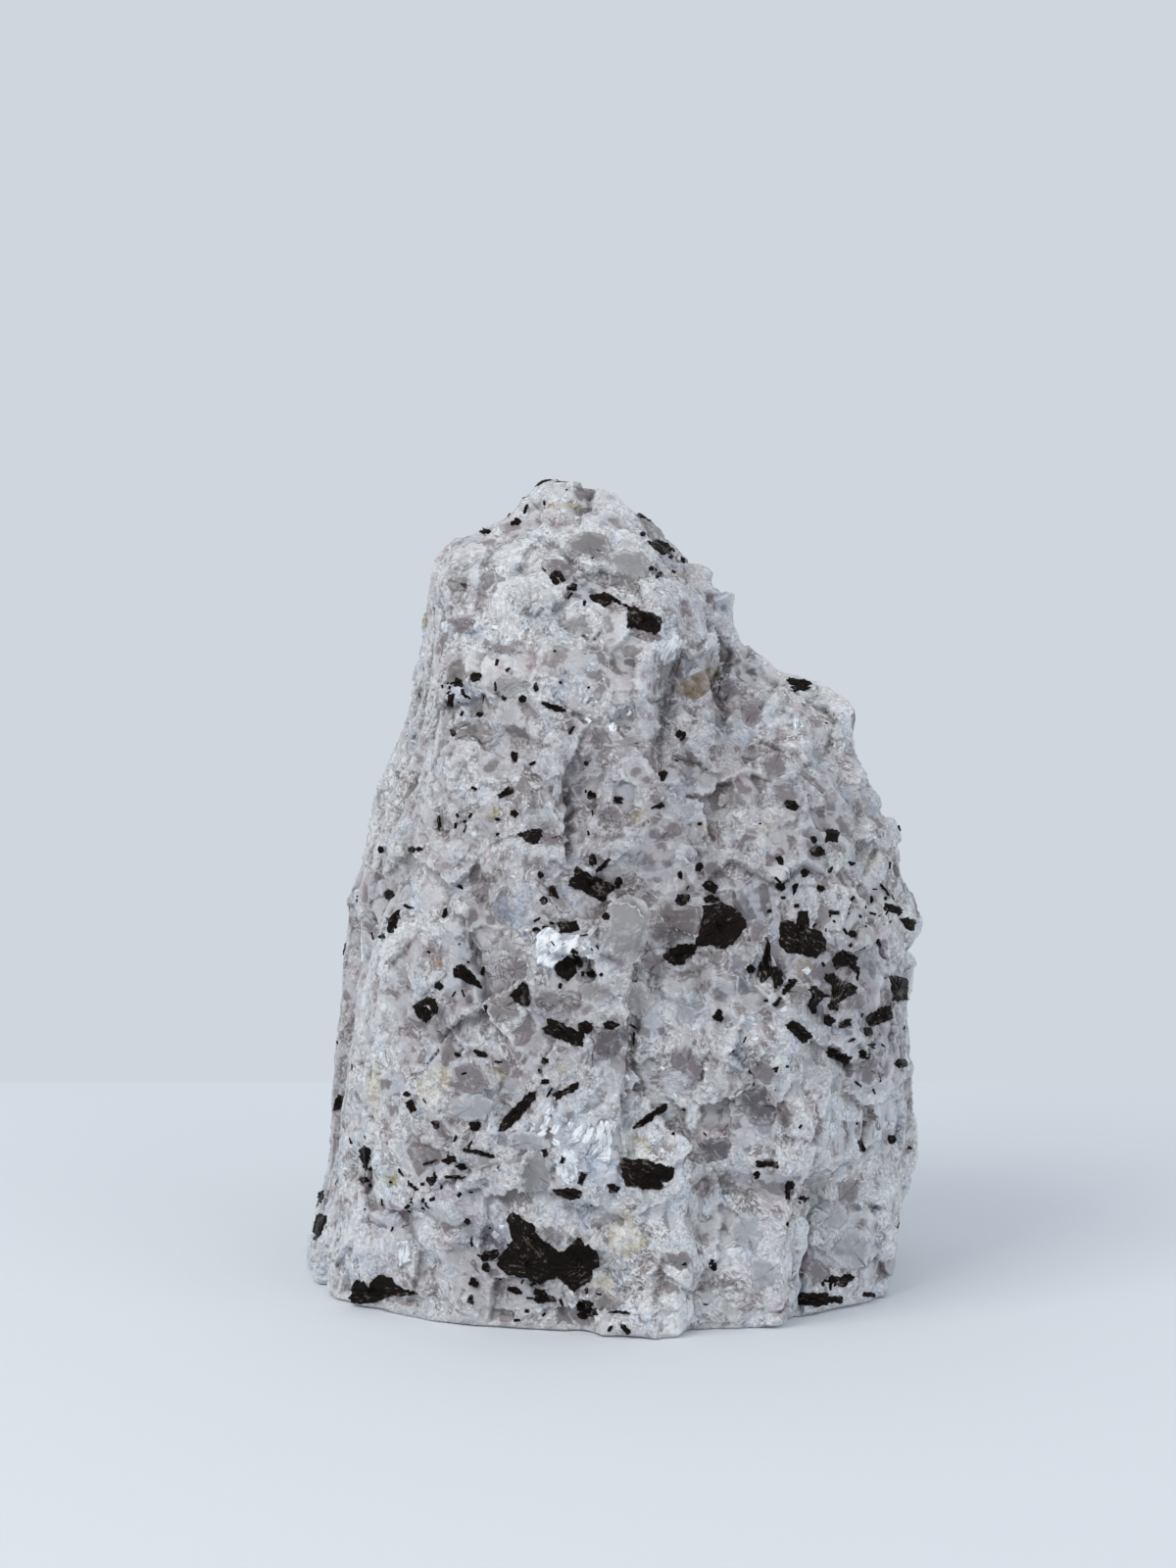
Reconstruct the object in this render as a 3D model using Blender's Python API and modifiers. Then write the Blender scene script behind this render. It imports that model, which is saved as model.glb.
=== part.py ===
"""A rough block of white quartz and feldspar rock with black tourmaline grown through it.

The block is one broken piece of stone. It stands on a flat break, leans back towards a small knob on top,
and steps down to a shoulder on its right. Its left side split along the layers of the rock, in long upright
splinters.

X runs to the right as the stone is shown, Y runs away from the viewer and Z is up. The origin is the middle
of the base. The tables below are in millimetres and the model is in metres.
"""

import math

import bmesh
import bpy
import numpy as np
from mathutils import Vector, noise

MM = 0.001
COLLECTION = "tourmalinated_quartz"

# The stone's overall size and the fineness of its surface
TOP_Z = 95.5
BELOW_BASE = 3.0
LEVEL_STEP = 1.5
POINTS_PER_SPAN = 8
ROUNDNESS = 0.4
VOXEL = 1.0
TRIANGLES = 9000

# Ridge lines run up the stone from below its base to the knob, each as (height, x, y). They go round the
# stone from its left outline, across the front to the right outline, and back behind it.
RIDGES = {
    "left_outline": [
        (-3, -34.8, 3), (2, -34.8, 3), (4.5, -34.1, 3), (11, -32.7, 3), (19, -31.6, 3), (24, -31.0, 3.5),
        (33, -30.1, 3.5), (42, -29.2, 3.5), (45, -29.4, 3.5), (49, -28.3, 3.5), (52.5, -26.8, 3.5),
        (60, -25.2, 3.5), (65, -22.9, 3.5), (70.5, -21.0, 3.5), (76, -19.7, 3.5), (80, -19.3, 3.5),
        (82.5, -19.7, 3), (85, -18.9, 3), (87.7, -17.2, 3), (90.2, -14.4, 3), (91, -9.6, 3),
        (92.5, -7.4, 2.5), (94.4, -7.2, 2.5), (95.8, -5.4, 2.5),
    ],
    "front_left_edge": [
        (-3, -28.8, -10.5), (5, -28.0, -12.5), (12, -26.6, -13.5), (20, -25.6, -14), (36, -24.0, -14.5),
        (44, -23.2, -14.5), (52, -22.2, -13.5), (59.5, -20.0, -13), (64, -18.2, -12.5), (75, -17.0, -11),
        (84, -16.4, -9), (88, -14.6, -6.5), (90.5, -11.5, -3.5), (92, -7.4, -1), (94.4, -6.6, -0.4),
        (95.8, -5.0, 0.6),
    ],
    "front_left": [
        (-3, -16.0, -20.5), (10, -14.5, -21.5), (30, -14.0, -22), (50, -13.0, -20.5), (65, -11.5, -17.5),
        (75, -11.0, -15.5), (83, -10.5, -12.5), (88, -9.5, -8), (90.5, -7.0, -5), (92, -5.8, -3.4),
        (94.4, -5.2, -2.4), (95.8, -4.0, -1),
    ],
    "front_middle": [
        (-3, -3.5, -24.0), (10, -3.0, -25), (30, -3.0, -26), (50, -3.0, -24), (65, -2.5, -20.5),
        (75, -2.0, -17.5), (82, -2.5, -14.5), (87, -3.0, -11), (90.5, -3.0, -7.2), (92, -2.8, -5),
        (94.4, -2.8, -3.4), (95.8, -2.6, -1.6),
    ],
    "front_foot": [
        (-3, 8.6, -25.8), (10, 9.5, -25.8), (25, 10.0, -25), (40, 10.0, -24.2), (50, 10.0, -22.5),
        (60, 10.0, -20), (70, 10.5, -17.5), (78, 10.5, -14.5), (84, 9.3, -10.5), (88, 6.3, -8),
        (91, 2.6, -5.6), (94.4, -0.4, -3), (95.8, -1.0, -1.2),
    ],
    "front_right": [
        (-3, 23.0, -22.0), (8, 23.4, -22.6), (20, 23.4, -22.8), (35, 23.4, -22.5), (45, 24.0, -21),
        (55, 23.0, -18), (62, 22.0, -14.5), (68, 20.5, -11), (72, 18.5, -8), (76, 16.6, -8), (82, 14.7, -7),
        (86, 11.8, -6), (89, 8.8, -5), (92, 4.8, -3.6), (94.4, 1.4, -2), (95.8, 0, -0.4),
    ],
    "right_front_edge": [
        (-3, 34.8, -10.5), (10, 35.8, -10), (17, 35.6, -10), (25, 36.4, -11), (34, 35.6, -12),
        (44, 35.8, -12), (54, 33.4, -11), (61, 30.8, -10), (64, 29.0, -9), (68, 29.2, -7.5),
        (71.2, 26.2, -4.5), (74, 20.8, -3), (78, 18.2, -4.2), (80.5, 17.7, -4.8), (83.4, 17.6, -4.8),
        (86, 14.0, -4), (88, 11.2, -3), (91, 6.8, -2), (94.4, 2.2, -0.4), (95.8, 0.6, 0.6),
    ],
    "right_outline": [
        (-3, 36.4, 1), (4, 37.0, 1), (9, 37.8, 2), (12.5, 39.9, 3), (18.5, 40.3, 3), (21, 40.3, 3),
        (27.5, 39.6, 2), (32, 38.9, 0), (40, 40.4, -1), (44.5, 39.9, -2), (48, 38.3, -3), (53.5, 36.8, -3),
        (58, 35.8, -3), (60.7, 34.6, -3), (62.4, 32.8, -3), (63.8, 31.8, -3), (67.8, 33.0, -3),
        (69.8, 32.6, -2.5), (71.9, 29.8, -1), (73.5, 24.6, 0), (76.2, 20.9, 0), (79.7, 18.8, -1),
        (83.2, 19.8, -1), (85, 16.2, -1), (87.8, 12.6, -1), (89.4, 10.4, -1), (91, 7.8, 0), (92.8, 4.9, 0),
        (94.8, 2.9, 1), (95.8, 1.8, 2),
    ],
    "right_back_edge": [
        (-3, 30.5, 19.5), (20, 32.0, 20), (45, 30.0, 17), (60, 26.6, 13.5), (70, 22.5, 11), (76, 17.0, 8.5),
        (80, 16.2, 6.5), (83.4, 15.8, 5.5), (86, 10.5, 8), (89, 7.0, 8), (93, 3.0, 6.5), (95.8, 0.4, 4),
    ],
    "back_right": [
        (-3, 12.5, 27.5), (25, 12.0, 27), (50, 10.5, 24.5), (68, 9.0, 19), (80, 6.0, 15), (88, 2.8, 12),
        (93, -0.4, 8.6), (95.8, -1.6, 5.4),
    ],
    "back_left": [
        (-3, -13.5, 26.5), (25, -12.5, 26), (50, -10.5, 23.5), (70, -8.5, 19.5), (82, -7.5, 15.5),
        (89, -6.8, 12), (93, -5.6, 8.4), (95.8, -3.6, 5.4),
    ],
    "left_back_edge": [
        (-3, -30.5, 17), (20, -28.0, 17), (45, -24.5, 16), (65, -19.5, 14.5), (80, -15.6, 12.5),
        (88, -13.0, 10), (92, -8.2, 7), (95.8, -5.2, 4.6),
    ],
}

# A flake is a chip that broke away beside a sharp edge. Each row holds the side of the stone it is seen
# from, how deep it drops at the edge, how far it runs out, and the edge itself as (across, height). The
# ground drops on the right-hand side of someone walking along the edge, as seen from outside that side of
# the stone.
FLAKES = {
    "left_of_small_step": ("front", 1.3, 8, [(-2.4, 53.2), (-2.2, 58), (-2.6, 62.5)]),
    "centre_crack": ("front", 1.9, 15, [(4.3, 21.5), (4.5, 30), (4.8, 38.7), (6.0, 43)]),
    "under_quartz_lens": ("front", 1.1, 5, [(-1.5, 42), (3.8, 42.4), (7.5, 45.6)]),
    "over_quartz_lens": ("front", 0.9, 5, [(6.6, 49.0), (1.5, 49.6), (-5.0, 49.0)]),
    "right_slab": ("front", 3.4, 13, [(23.0, -3), (23.8, 8.6), (24.7, 16)]),
    "right_slab_top": ("front", 1.8, 8, [(24.5, 13), (29.9, 16.5), (36.5, 18.5)]),
    "beside_foot": ("front", 3.0, 10, [(10.4, -3), (12.1, 8.1), (11.4, 13.6), (12.6, 17)]),
    "above_foot": ("front", 1.1, 7, [(3.4, 15.5), (8.0, 14.6), (12.0, 16.5)]),
    "shoulder_wall": ("front", 3.2, 9, [(15.6, 66), (15.9, 72), (15.4, 80.5)]),
    "cave_lip": ("front", 3.0, 9, [(8.2, 74.2), (12, 75.8), (16.2, 76.6)]),
    "cave_side": ("front", 2.2, 7, [(7.9, 64), (7.8, 70), (8.4, 74.5)]),
    "long_shelf": (
        "front", 1.4, 9, [(-2.6, 54.6), (-8.5, 56.2), (-13.1, 54.2), (-17.4, 55.2), (-22.5, 53.4)],
    ),
    "upper_shelf": ("front", 1.0, 8, [(5.0, 65.2), (-1.0, 66.0), (-7.5, 64.6), (-14.0, 66.2)]),
    "shoulder_groove": ("front", 1.8, 4.5, [(32.5, 62.6), (27.2, 63.2), (26.2, 67.5), (27.0, 71)]),
    "right_strip": ("front", 1.7, 5, [(31.4, 33), (31.6, 40), (32.0, 47)]),
    "right_band": ("front", 1.2, 9, [(30.5, 49.5), (23.0, 51.5), (14.5, 49.8)]),
    "collar": ("front", 1.8, 4, [(10.5, 87.2), (5.6, 90.6), (0, 91.2), (-9, 89.4), (-15.5, 88.2)]),
    "low_left_chip": ("front", 1.2, 8, [(-24, 10.5), (-18.5, 12.5), (-12, 11.2)]),
    "left_middle_chip": ("front", 1.3, 7, [(-13.5, 36), (-14.2, 41), (-12.8, 46.5)]),
    "left_lens": ("left", 1.8, 7, [(3, 40.5), (8, 45), (12, 52.5)]),
    "left_top_splinter": ("left", 1.4, 5, [(6.5, 58), (7.5, 68), (6.0, 80)]),
    "left_long_splinter": ("left", 1.5, 6, [(-2, 14), (-1.2, 30), (-2.6, 47)]),
    "left_low_splinter": ("left", 1.3, 5, [(-10, 4), (-9.2, 18), (-10.4, 32)]),
    "left_front_splinter": ("left", 1.2, 4, [(9.0, 3), (10.2, 16), (9.2, 34)]),
    "right_long_ledge": ("right", 2.2, 12, [(-11, 40), (0, 42.5), (13, 39)]),
    "right_upright": ("right", 1.9, 9, [(4.5, 6), (5.4, 18), (3.8, 31)]),
    "right_high_chip": ("right", 1.8, 8, [(5, 55), (11, 57.5), (18, 56)]),
    "right_low_chip": ("right", 1.5, 8, [(19, 14.5), (11, 16.5), (7, 13.5)]),
    "back_main_ledge": ("back", 2.4, 16, [(-27, 33), (-12, 36.5), (3, 34), (14, 37.5)]),
    "back_upright": ("back", 2.6, 13, [(5.2, 4), (4.0, 18), (5.8, 33)]),
    "back_top_chip": ("back", 1.9, 9, [(13.5, 62), (3, 65.5), (-8, 63.5)]),
    "back_side_step": ("back", 2.0, 10, [(-10.5, 41), (-9.0, 52), (-10.2, 62)]),
    "back_low_chip": ("back", 1.8, 9, [(27, 12.5), (15, 15), (8, 12)]),
}
EDGE_SOFTNESS = 0.7
END_TAPER = 3.5

# A flake shows fully where the surface turns enough towards its side of the stone, and fades out past that.
FLAKE_FADE = 2.2
FLAKE_FADE_START = 0.25

# How each side of the stone is seen from outside it: the way across, and the way in
SIDES = {
    "front": (Vector((1, 0, 0)), Vector((0, 1, 0))),
    "back": (Vector((-1, 0, 0)), Vector((0, -1, 0))),
    "left": (Vector((0, -1, 0)), Vector((1, 0, 0))),
    "right": (Vector((0, 1, 0)), Vector((-1, 0, 0))),
}

# Broken facets, as (size, height of the steps between them, tilt of a facet)
FACETS = [(17.0, 0.9, 1.2), (8.0, 0.5, 0.8), (3.8, 0.26, 0.4)]
SPLINTER_SIZE = Vector((5.0, 2.3, 26.0))
SPLINTER_HEIGHT = 0.75

# The split side starts where the surface turns to the left, and keeps only a share of the facets.
SPLIT_SIDE_FADE = 2.5
SPLIT_SIDE_START = 1.0
FACETS_LOST_ON_SPLIT_SIDE = 0.75

# The knob on top is worn round: the facets fade over this height and keep only a share above it.
KNOB_START = 89.0
KNOB_FADE = 3.0
FACETS_LOST_ON_KNOB = 0.8

# Each cell's own random numbers are read at its centre, spread out by these.
LEVEL_SPREAD = 61.7
LEVEL_SHIFT = Vector((3.1, 7.7, 1.3))
SLOPE_SPREAD = 37.3
SPLINTER_SPREAD = 43.9
CELL_MIDDLE = Vector((0.5, 0.5, 0.5))

WHITE_ROCK = (0.70, 0.71, 0.74, 1.0)
ROCK_ROUGHNESS = 0.55


def clear_scene():
    for obj in list(bpy.data.objects):
        bpy.data.objects.remove(obj)


def smooth(value):
    """0 below 0, 1 above 1, and an easy rise between."""
    value = min(max(value, 0.0), 1.0)
    return value * value * (3 - 2 * value)


def rock_material():
    material = bpy.data.materials.new("white_quartz_rock")
    material.use_nodes = True
    shader = material.node_tree.nodes["Principled BSDF"]
    shader.inputs["Base Color"].default_value = WHITE_ROCK
    shader.inputs["Roughness"].default_value = ROCK_ROUGHNESS
    shader.inputs["Metallic"].default_value = 0.0
    return material


def ridge_point(ridge, z):
    heights, across, deep = zip(*ridge)
    return np.array((np.interp(z, heights, across), np.interp(z, heights, deep)))


def section(z):
    """The outline at one height: a closed ring through every ridge, part straight and part rounded."""
    corners = [ridge_point(ridge, z) for ridge in RIDGES.values()]
    count = len(corners)
    ring = []
    for i in range(count):
        before, start, end, after = (corners[(i + k) % count] for k in (-1, 0, 1, 2))
        for step in range(POINTS_PER_SPAN):
            t = step / POINTS_PER_SPAN
            straight = start + (end - start) * t
            curve = 0.5 * (
                2 * start
                + (end - before) * t
                + (2 * before - 5 * start + 4 * end - after) * t**2
                + (3 * start - before - 3 * end + after) * t**3
            )
            x, y = straight + (curve - straight) * ROUNDNESS
            ring.append(Vector((x, y, z)) * MM)
    return ring


def lofted_block():
    """The block's main form, lofted through its sections and closed at both ends."""
    mesh = bmesh.new()
    heights = np.arange(-BELOW_BASE, TOP_Z, LEVEL_STEP).tolist() + [TOP_Z]
    rings = [[mesh.verts.new(point) for point in section(z)] for z in heights]
    count = len(rings[0])
    for lower, upper in zip(rings, rings[1:]):
        for i in range(count):
            j = (i + 1) % count
            mesh.faces.new((lower[i], lower[j], upper[j], upper[i]))
    mesh.faces.new(reversed(rings[0]))
    mesh.faces.new(rings[-1])
    bmesh.ops.recalc_face_normals(mesh, faces=mesh.faces)
    data = bpy.data.meshes.new("stone")
    mesh.to_mesh(data)
    mesh.free()
    return data


def evenly_meshed(obj):
    """The object's mesh again, as small quads of one size."""
    remesh = obj.modifiers.new("even_quads", "REMESH")
    remesh.mode = "VOXEL"
    remesh.voxel_size = VOXEL * MM
    bpy.context.view_layer.update()
    graph = bpy.context.evaluated_depsgraph_get()
    even = bpy.data.meshes.new_from_object(obj.evaluated_get(graph))
    obj.modifiers.remove(remesh)
    coarse = obj.data
    obj.data = even
    bpy.data.meshes.remove(coarse)
    even.name = "stone"


def flake_drop(across, height, depth, reach, edge):
    """How far the surface drops at this place because of one flake."""
    nearest = None
    last = len(edge) - 2
    for i, ((x0, z0), (x1, z1)) in enumerate(zip(edge, edge[1:])):
        run_x, run_z = x1 - x0, z1 - z0
        length = math.hypot(run_x, run_z)
        along = ((across - x0) * run_x + (height - z0) * run_z) / length
        held = min(max(along, 0.0), length)
        off_x, off_z = across - x0 - run_x / length * held, height - z0 - run_z / length * held
        gap = math.hypot(off_x, off_z)
        if nearest is None or gap < nearest[0]:
            side = ((across - x0) * run_z - (height - z0) * run_x) / length
            past_end = -along if i == 0 and along < 0 else along - length if i == last else 0.0
            nearest = (gap, side, max(past_end, 0.0))
    gap, side, past_end = nearest
    out = math.copysign(gap, side)
    if out > reach or out < -EDGE_SOFTNESS:
        return 0.0
    rise = smooth(out / EDGE_SOFTNESS * 0.5 + 0.5)
    return depth * rise * (1 - max(out, 0) / reach) * smooth(1 - past_end / END_TAPER)


def flaked(place, normal):
    """The way the flakes move this place, given in millimetres with the normal there."""
    moved = Vector((0, 0, 0))
    for side, depth, reach, edge in FLAKES.values():
        across, inward = SIDES[side]
        facing = smooth(-normal.dot(inward) * FLAKE_FADE - FLAKE_FADE_START)
        if facing:
            moved += inward * facing * flake_drop(place.dot(across), place.z, depth, reach, edge)
    return moved


def facet_height(place, size, step, tilt):
    """The height of the broken facet that holds this place: its own level, and its own slope across it."""
    centre = noise.voronoi(place / size)[1][0]
    level = noise.cell(centre * LEVEL_SPREAD + LEVEL_SHIFT)
    slope = noise.cell_vector(centre * SLOPE_SPREAD) - CELL_MIDDLE
    return step * (level - 0.5) + tilt * slope.dot(place / size - centre)


def splinter_height(place):
    """The height of the upright splinter that holds this place on the split left side."""
    stretched = Vector((place.x / SPLINTER_SIZE.x, place.y / SPLINTER_SIZE.y, place.z / SPLINTER_SIZE.z))
    centre = noise.voronoi(stretched)[1][0]
    return SPLINTER_HEIGHT * (noise.cell(centre * SPLINTER_SPREAD) - 0.5)


def break_surface(data):
    """Turns the smooth block's surface into broken rock: flakes, facets, and splinters on its left side."""
    places = [vertex.co / MM for vertex in data.vertices]
    normals = [vertex.normal.copy() for vertex in data.vertices]
    for vertex, place, normal in zip(data.vertices, places, normals):
        split_side = smooth(-normal.x * SPLIT_SIDE_FADE - SPLIT_SIDE_START)
        on_knob = smooth((place.z - KNOB_START) / KNOB_FADE)
        kept = (1 - FACETS_LOST_ON_SPLIT_SIDE * split_side) * (1 - FACETS_LOST_ON_KNOB * on_knob)
        height = kept * sum(facet_height(place, *facet) for facet in FACETS)
        height += splinter_height(place) * split_side
        vertex.co = (place + flaked(place, normal) + normal * height) * MM


def cut_base_flat(data):
    """Cuts off everything below the base, and closes the cut with one flat face."""
    mesh = bmesh.new()
    mesh.from_mesh(data)
    everything = mesh.verts[:] + mesh.edges[:] + mesh.faces[:]
    cut = bmesh.ops.bisect_plane(
        mesh, geom=everything, plane_co=(0, 0, 0), plane_no=(0, 0, -1), clear_outer=True
    )
    rim = [item for item in cut["geom_cut"] if isinstance(item, bmesh.types.BMEdge)]
    bmesh.ops.contextual_create(mesh, geom=rim)
    mesh.to_mesh(data)
    mesh.free()


def centre_over_origin(data):
    """Slides the mesh so that the middle of its outline, seen from above, is the origin."""
    points = np.array([vertex.co for vertex in data.vertices])
    middle = (points.min(0) + points.max(0)) / 2
    for vertex in data.vertices:
        vertex.co -= Vector((middle[0], middle[1], 0))


def thin_out(obj):
    """Leaves the most triangles where the rock is roughest."""
    obj.data.calc_loop_triangles()
    decimate = obj.modifiers.new("fewer_triangles", "DECIMATE")
    decimate.ratio = TRIANGLES / len(obj.data.loop_triangles)


def make_stone(collection):
    stone = bpy.data.objects.new("stone", lofted_block())
    collection.objects.link(stone)
    evenly_meshed(stone)
    break_surface(stone.data)
    cut_base_flat(stone.data)
    centre_over_origin(stone.data)
    thin_out(stone)
    stone.data.materials.append(rock_material())
    return stone


def main():
    clear_scene()
    collection = bpy.data.collections.new(COLLECTION)
    bpy.context.scene.collection.children.link(collection)
    make_stone(collection)


main()
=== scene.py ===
"""Shows a rough block of white quartz and feldspar rock with black tourmaline grown through it.

The block is one broken stone. Its surface is broken grain by grain, and grey quartz and cream feldspar show
among the white, bright flat cleavage faces, and black tourmaline crystals cut off flush with the break.
Sizes in the tables are in view units, as the viewer sees them, or in millimetres. What is made is in metres.
"""

import math
import random
from collections import namedtuple

import bmesh
import bpy
import numpy as np
from bpy.props import FloatProperty, FloatVectorProperty, IntProperty, PointerProperty
from mathutils import Euler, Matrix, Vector
from mathutils.bvhtree import BVHTree


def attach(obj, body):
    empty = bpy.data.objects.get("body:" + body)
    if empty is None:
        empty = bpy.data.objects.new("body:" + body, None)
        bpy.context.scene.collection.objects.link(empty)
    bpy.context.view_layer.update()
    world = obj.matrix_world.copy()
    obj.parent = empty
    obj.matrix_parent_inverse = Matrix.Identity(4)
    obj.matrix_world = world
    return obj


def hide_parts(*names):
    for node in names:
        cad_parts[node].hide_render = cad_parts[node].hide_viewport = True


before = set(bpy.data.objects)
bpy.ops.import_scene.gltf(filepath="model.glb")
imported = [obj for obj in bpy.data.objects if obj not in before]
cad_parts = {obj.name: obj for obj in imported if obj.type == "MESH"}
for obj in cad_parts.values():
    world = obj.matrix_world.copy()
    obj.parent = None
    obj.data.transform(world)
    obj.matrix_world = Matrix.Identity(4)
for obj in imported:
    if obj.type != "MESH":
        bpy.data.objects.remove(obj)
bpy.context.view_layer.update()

bl_info = {
    "name": "Tourmalinated Quartz Rock",
    "version": (1, 0, 0),
    "blender": (4, 5, 0),
    "location": "3D View > Sidebar > Rock",
    "description": "Makes a broken block of white rock with grey quartz and black tourmaline in it",
    "category": "Add Mesh",
}

MM = 0.001

# The viewer's eye. The view is 1200 units wide and 1600 tall, counted from its top left corner.
VIEW_WIDTH = 1200
VIEW_HEIGHT = 1600
LENS = 54
SENSOR = 36
EYE = Vector((-0.0029, -0.2809, 0.0783))
TILT_DOWN = math.radians(3.8)
EYE_ANGLES = (math.pi / 2 - TILT_DOWN, 0, 0)
EYE_TURN = Euler(EYE_ANGLES).to_matrix()
FOCAL = VIEW_HEIGHT * LENS / SENSOR

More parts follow.
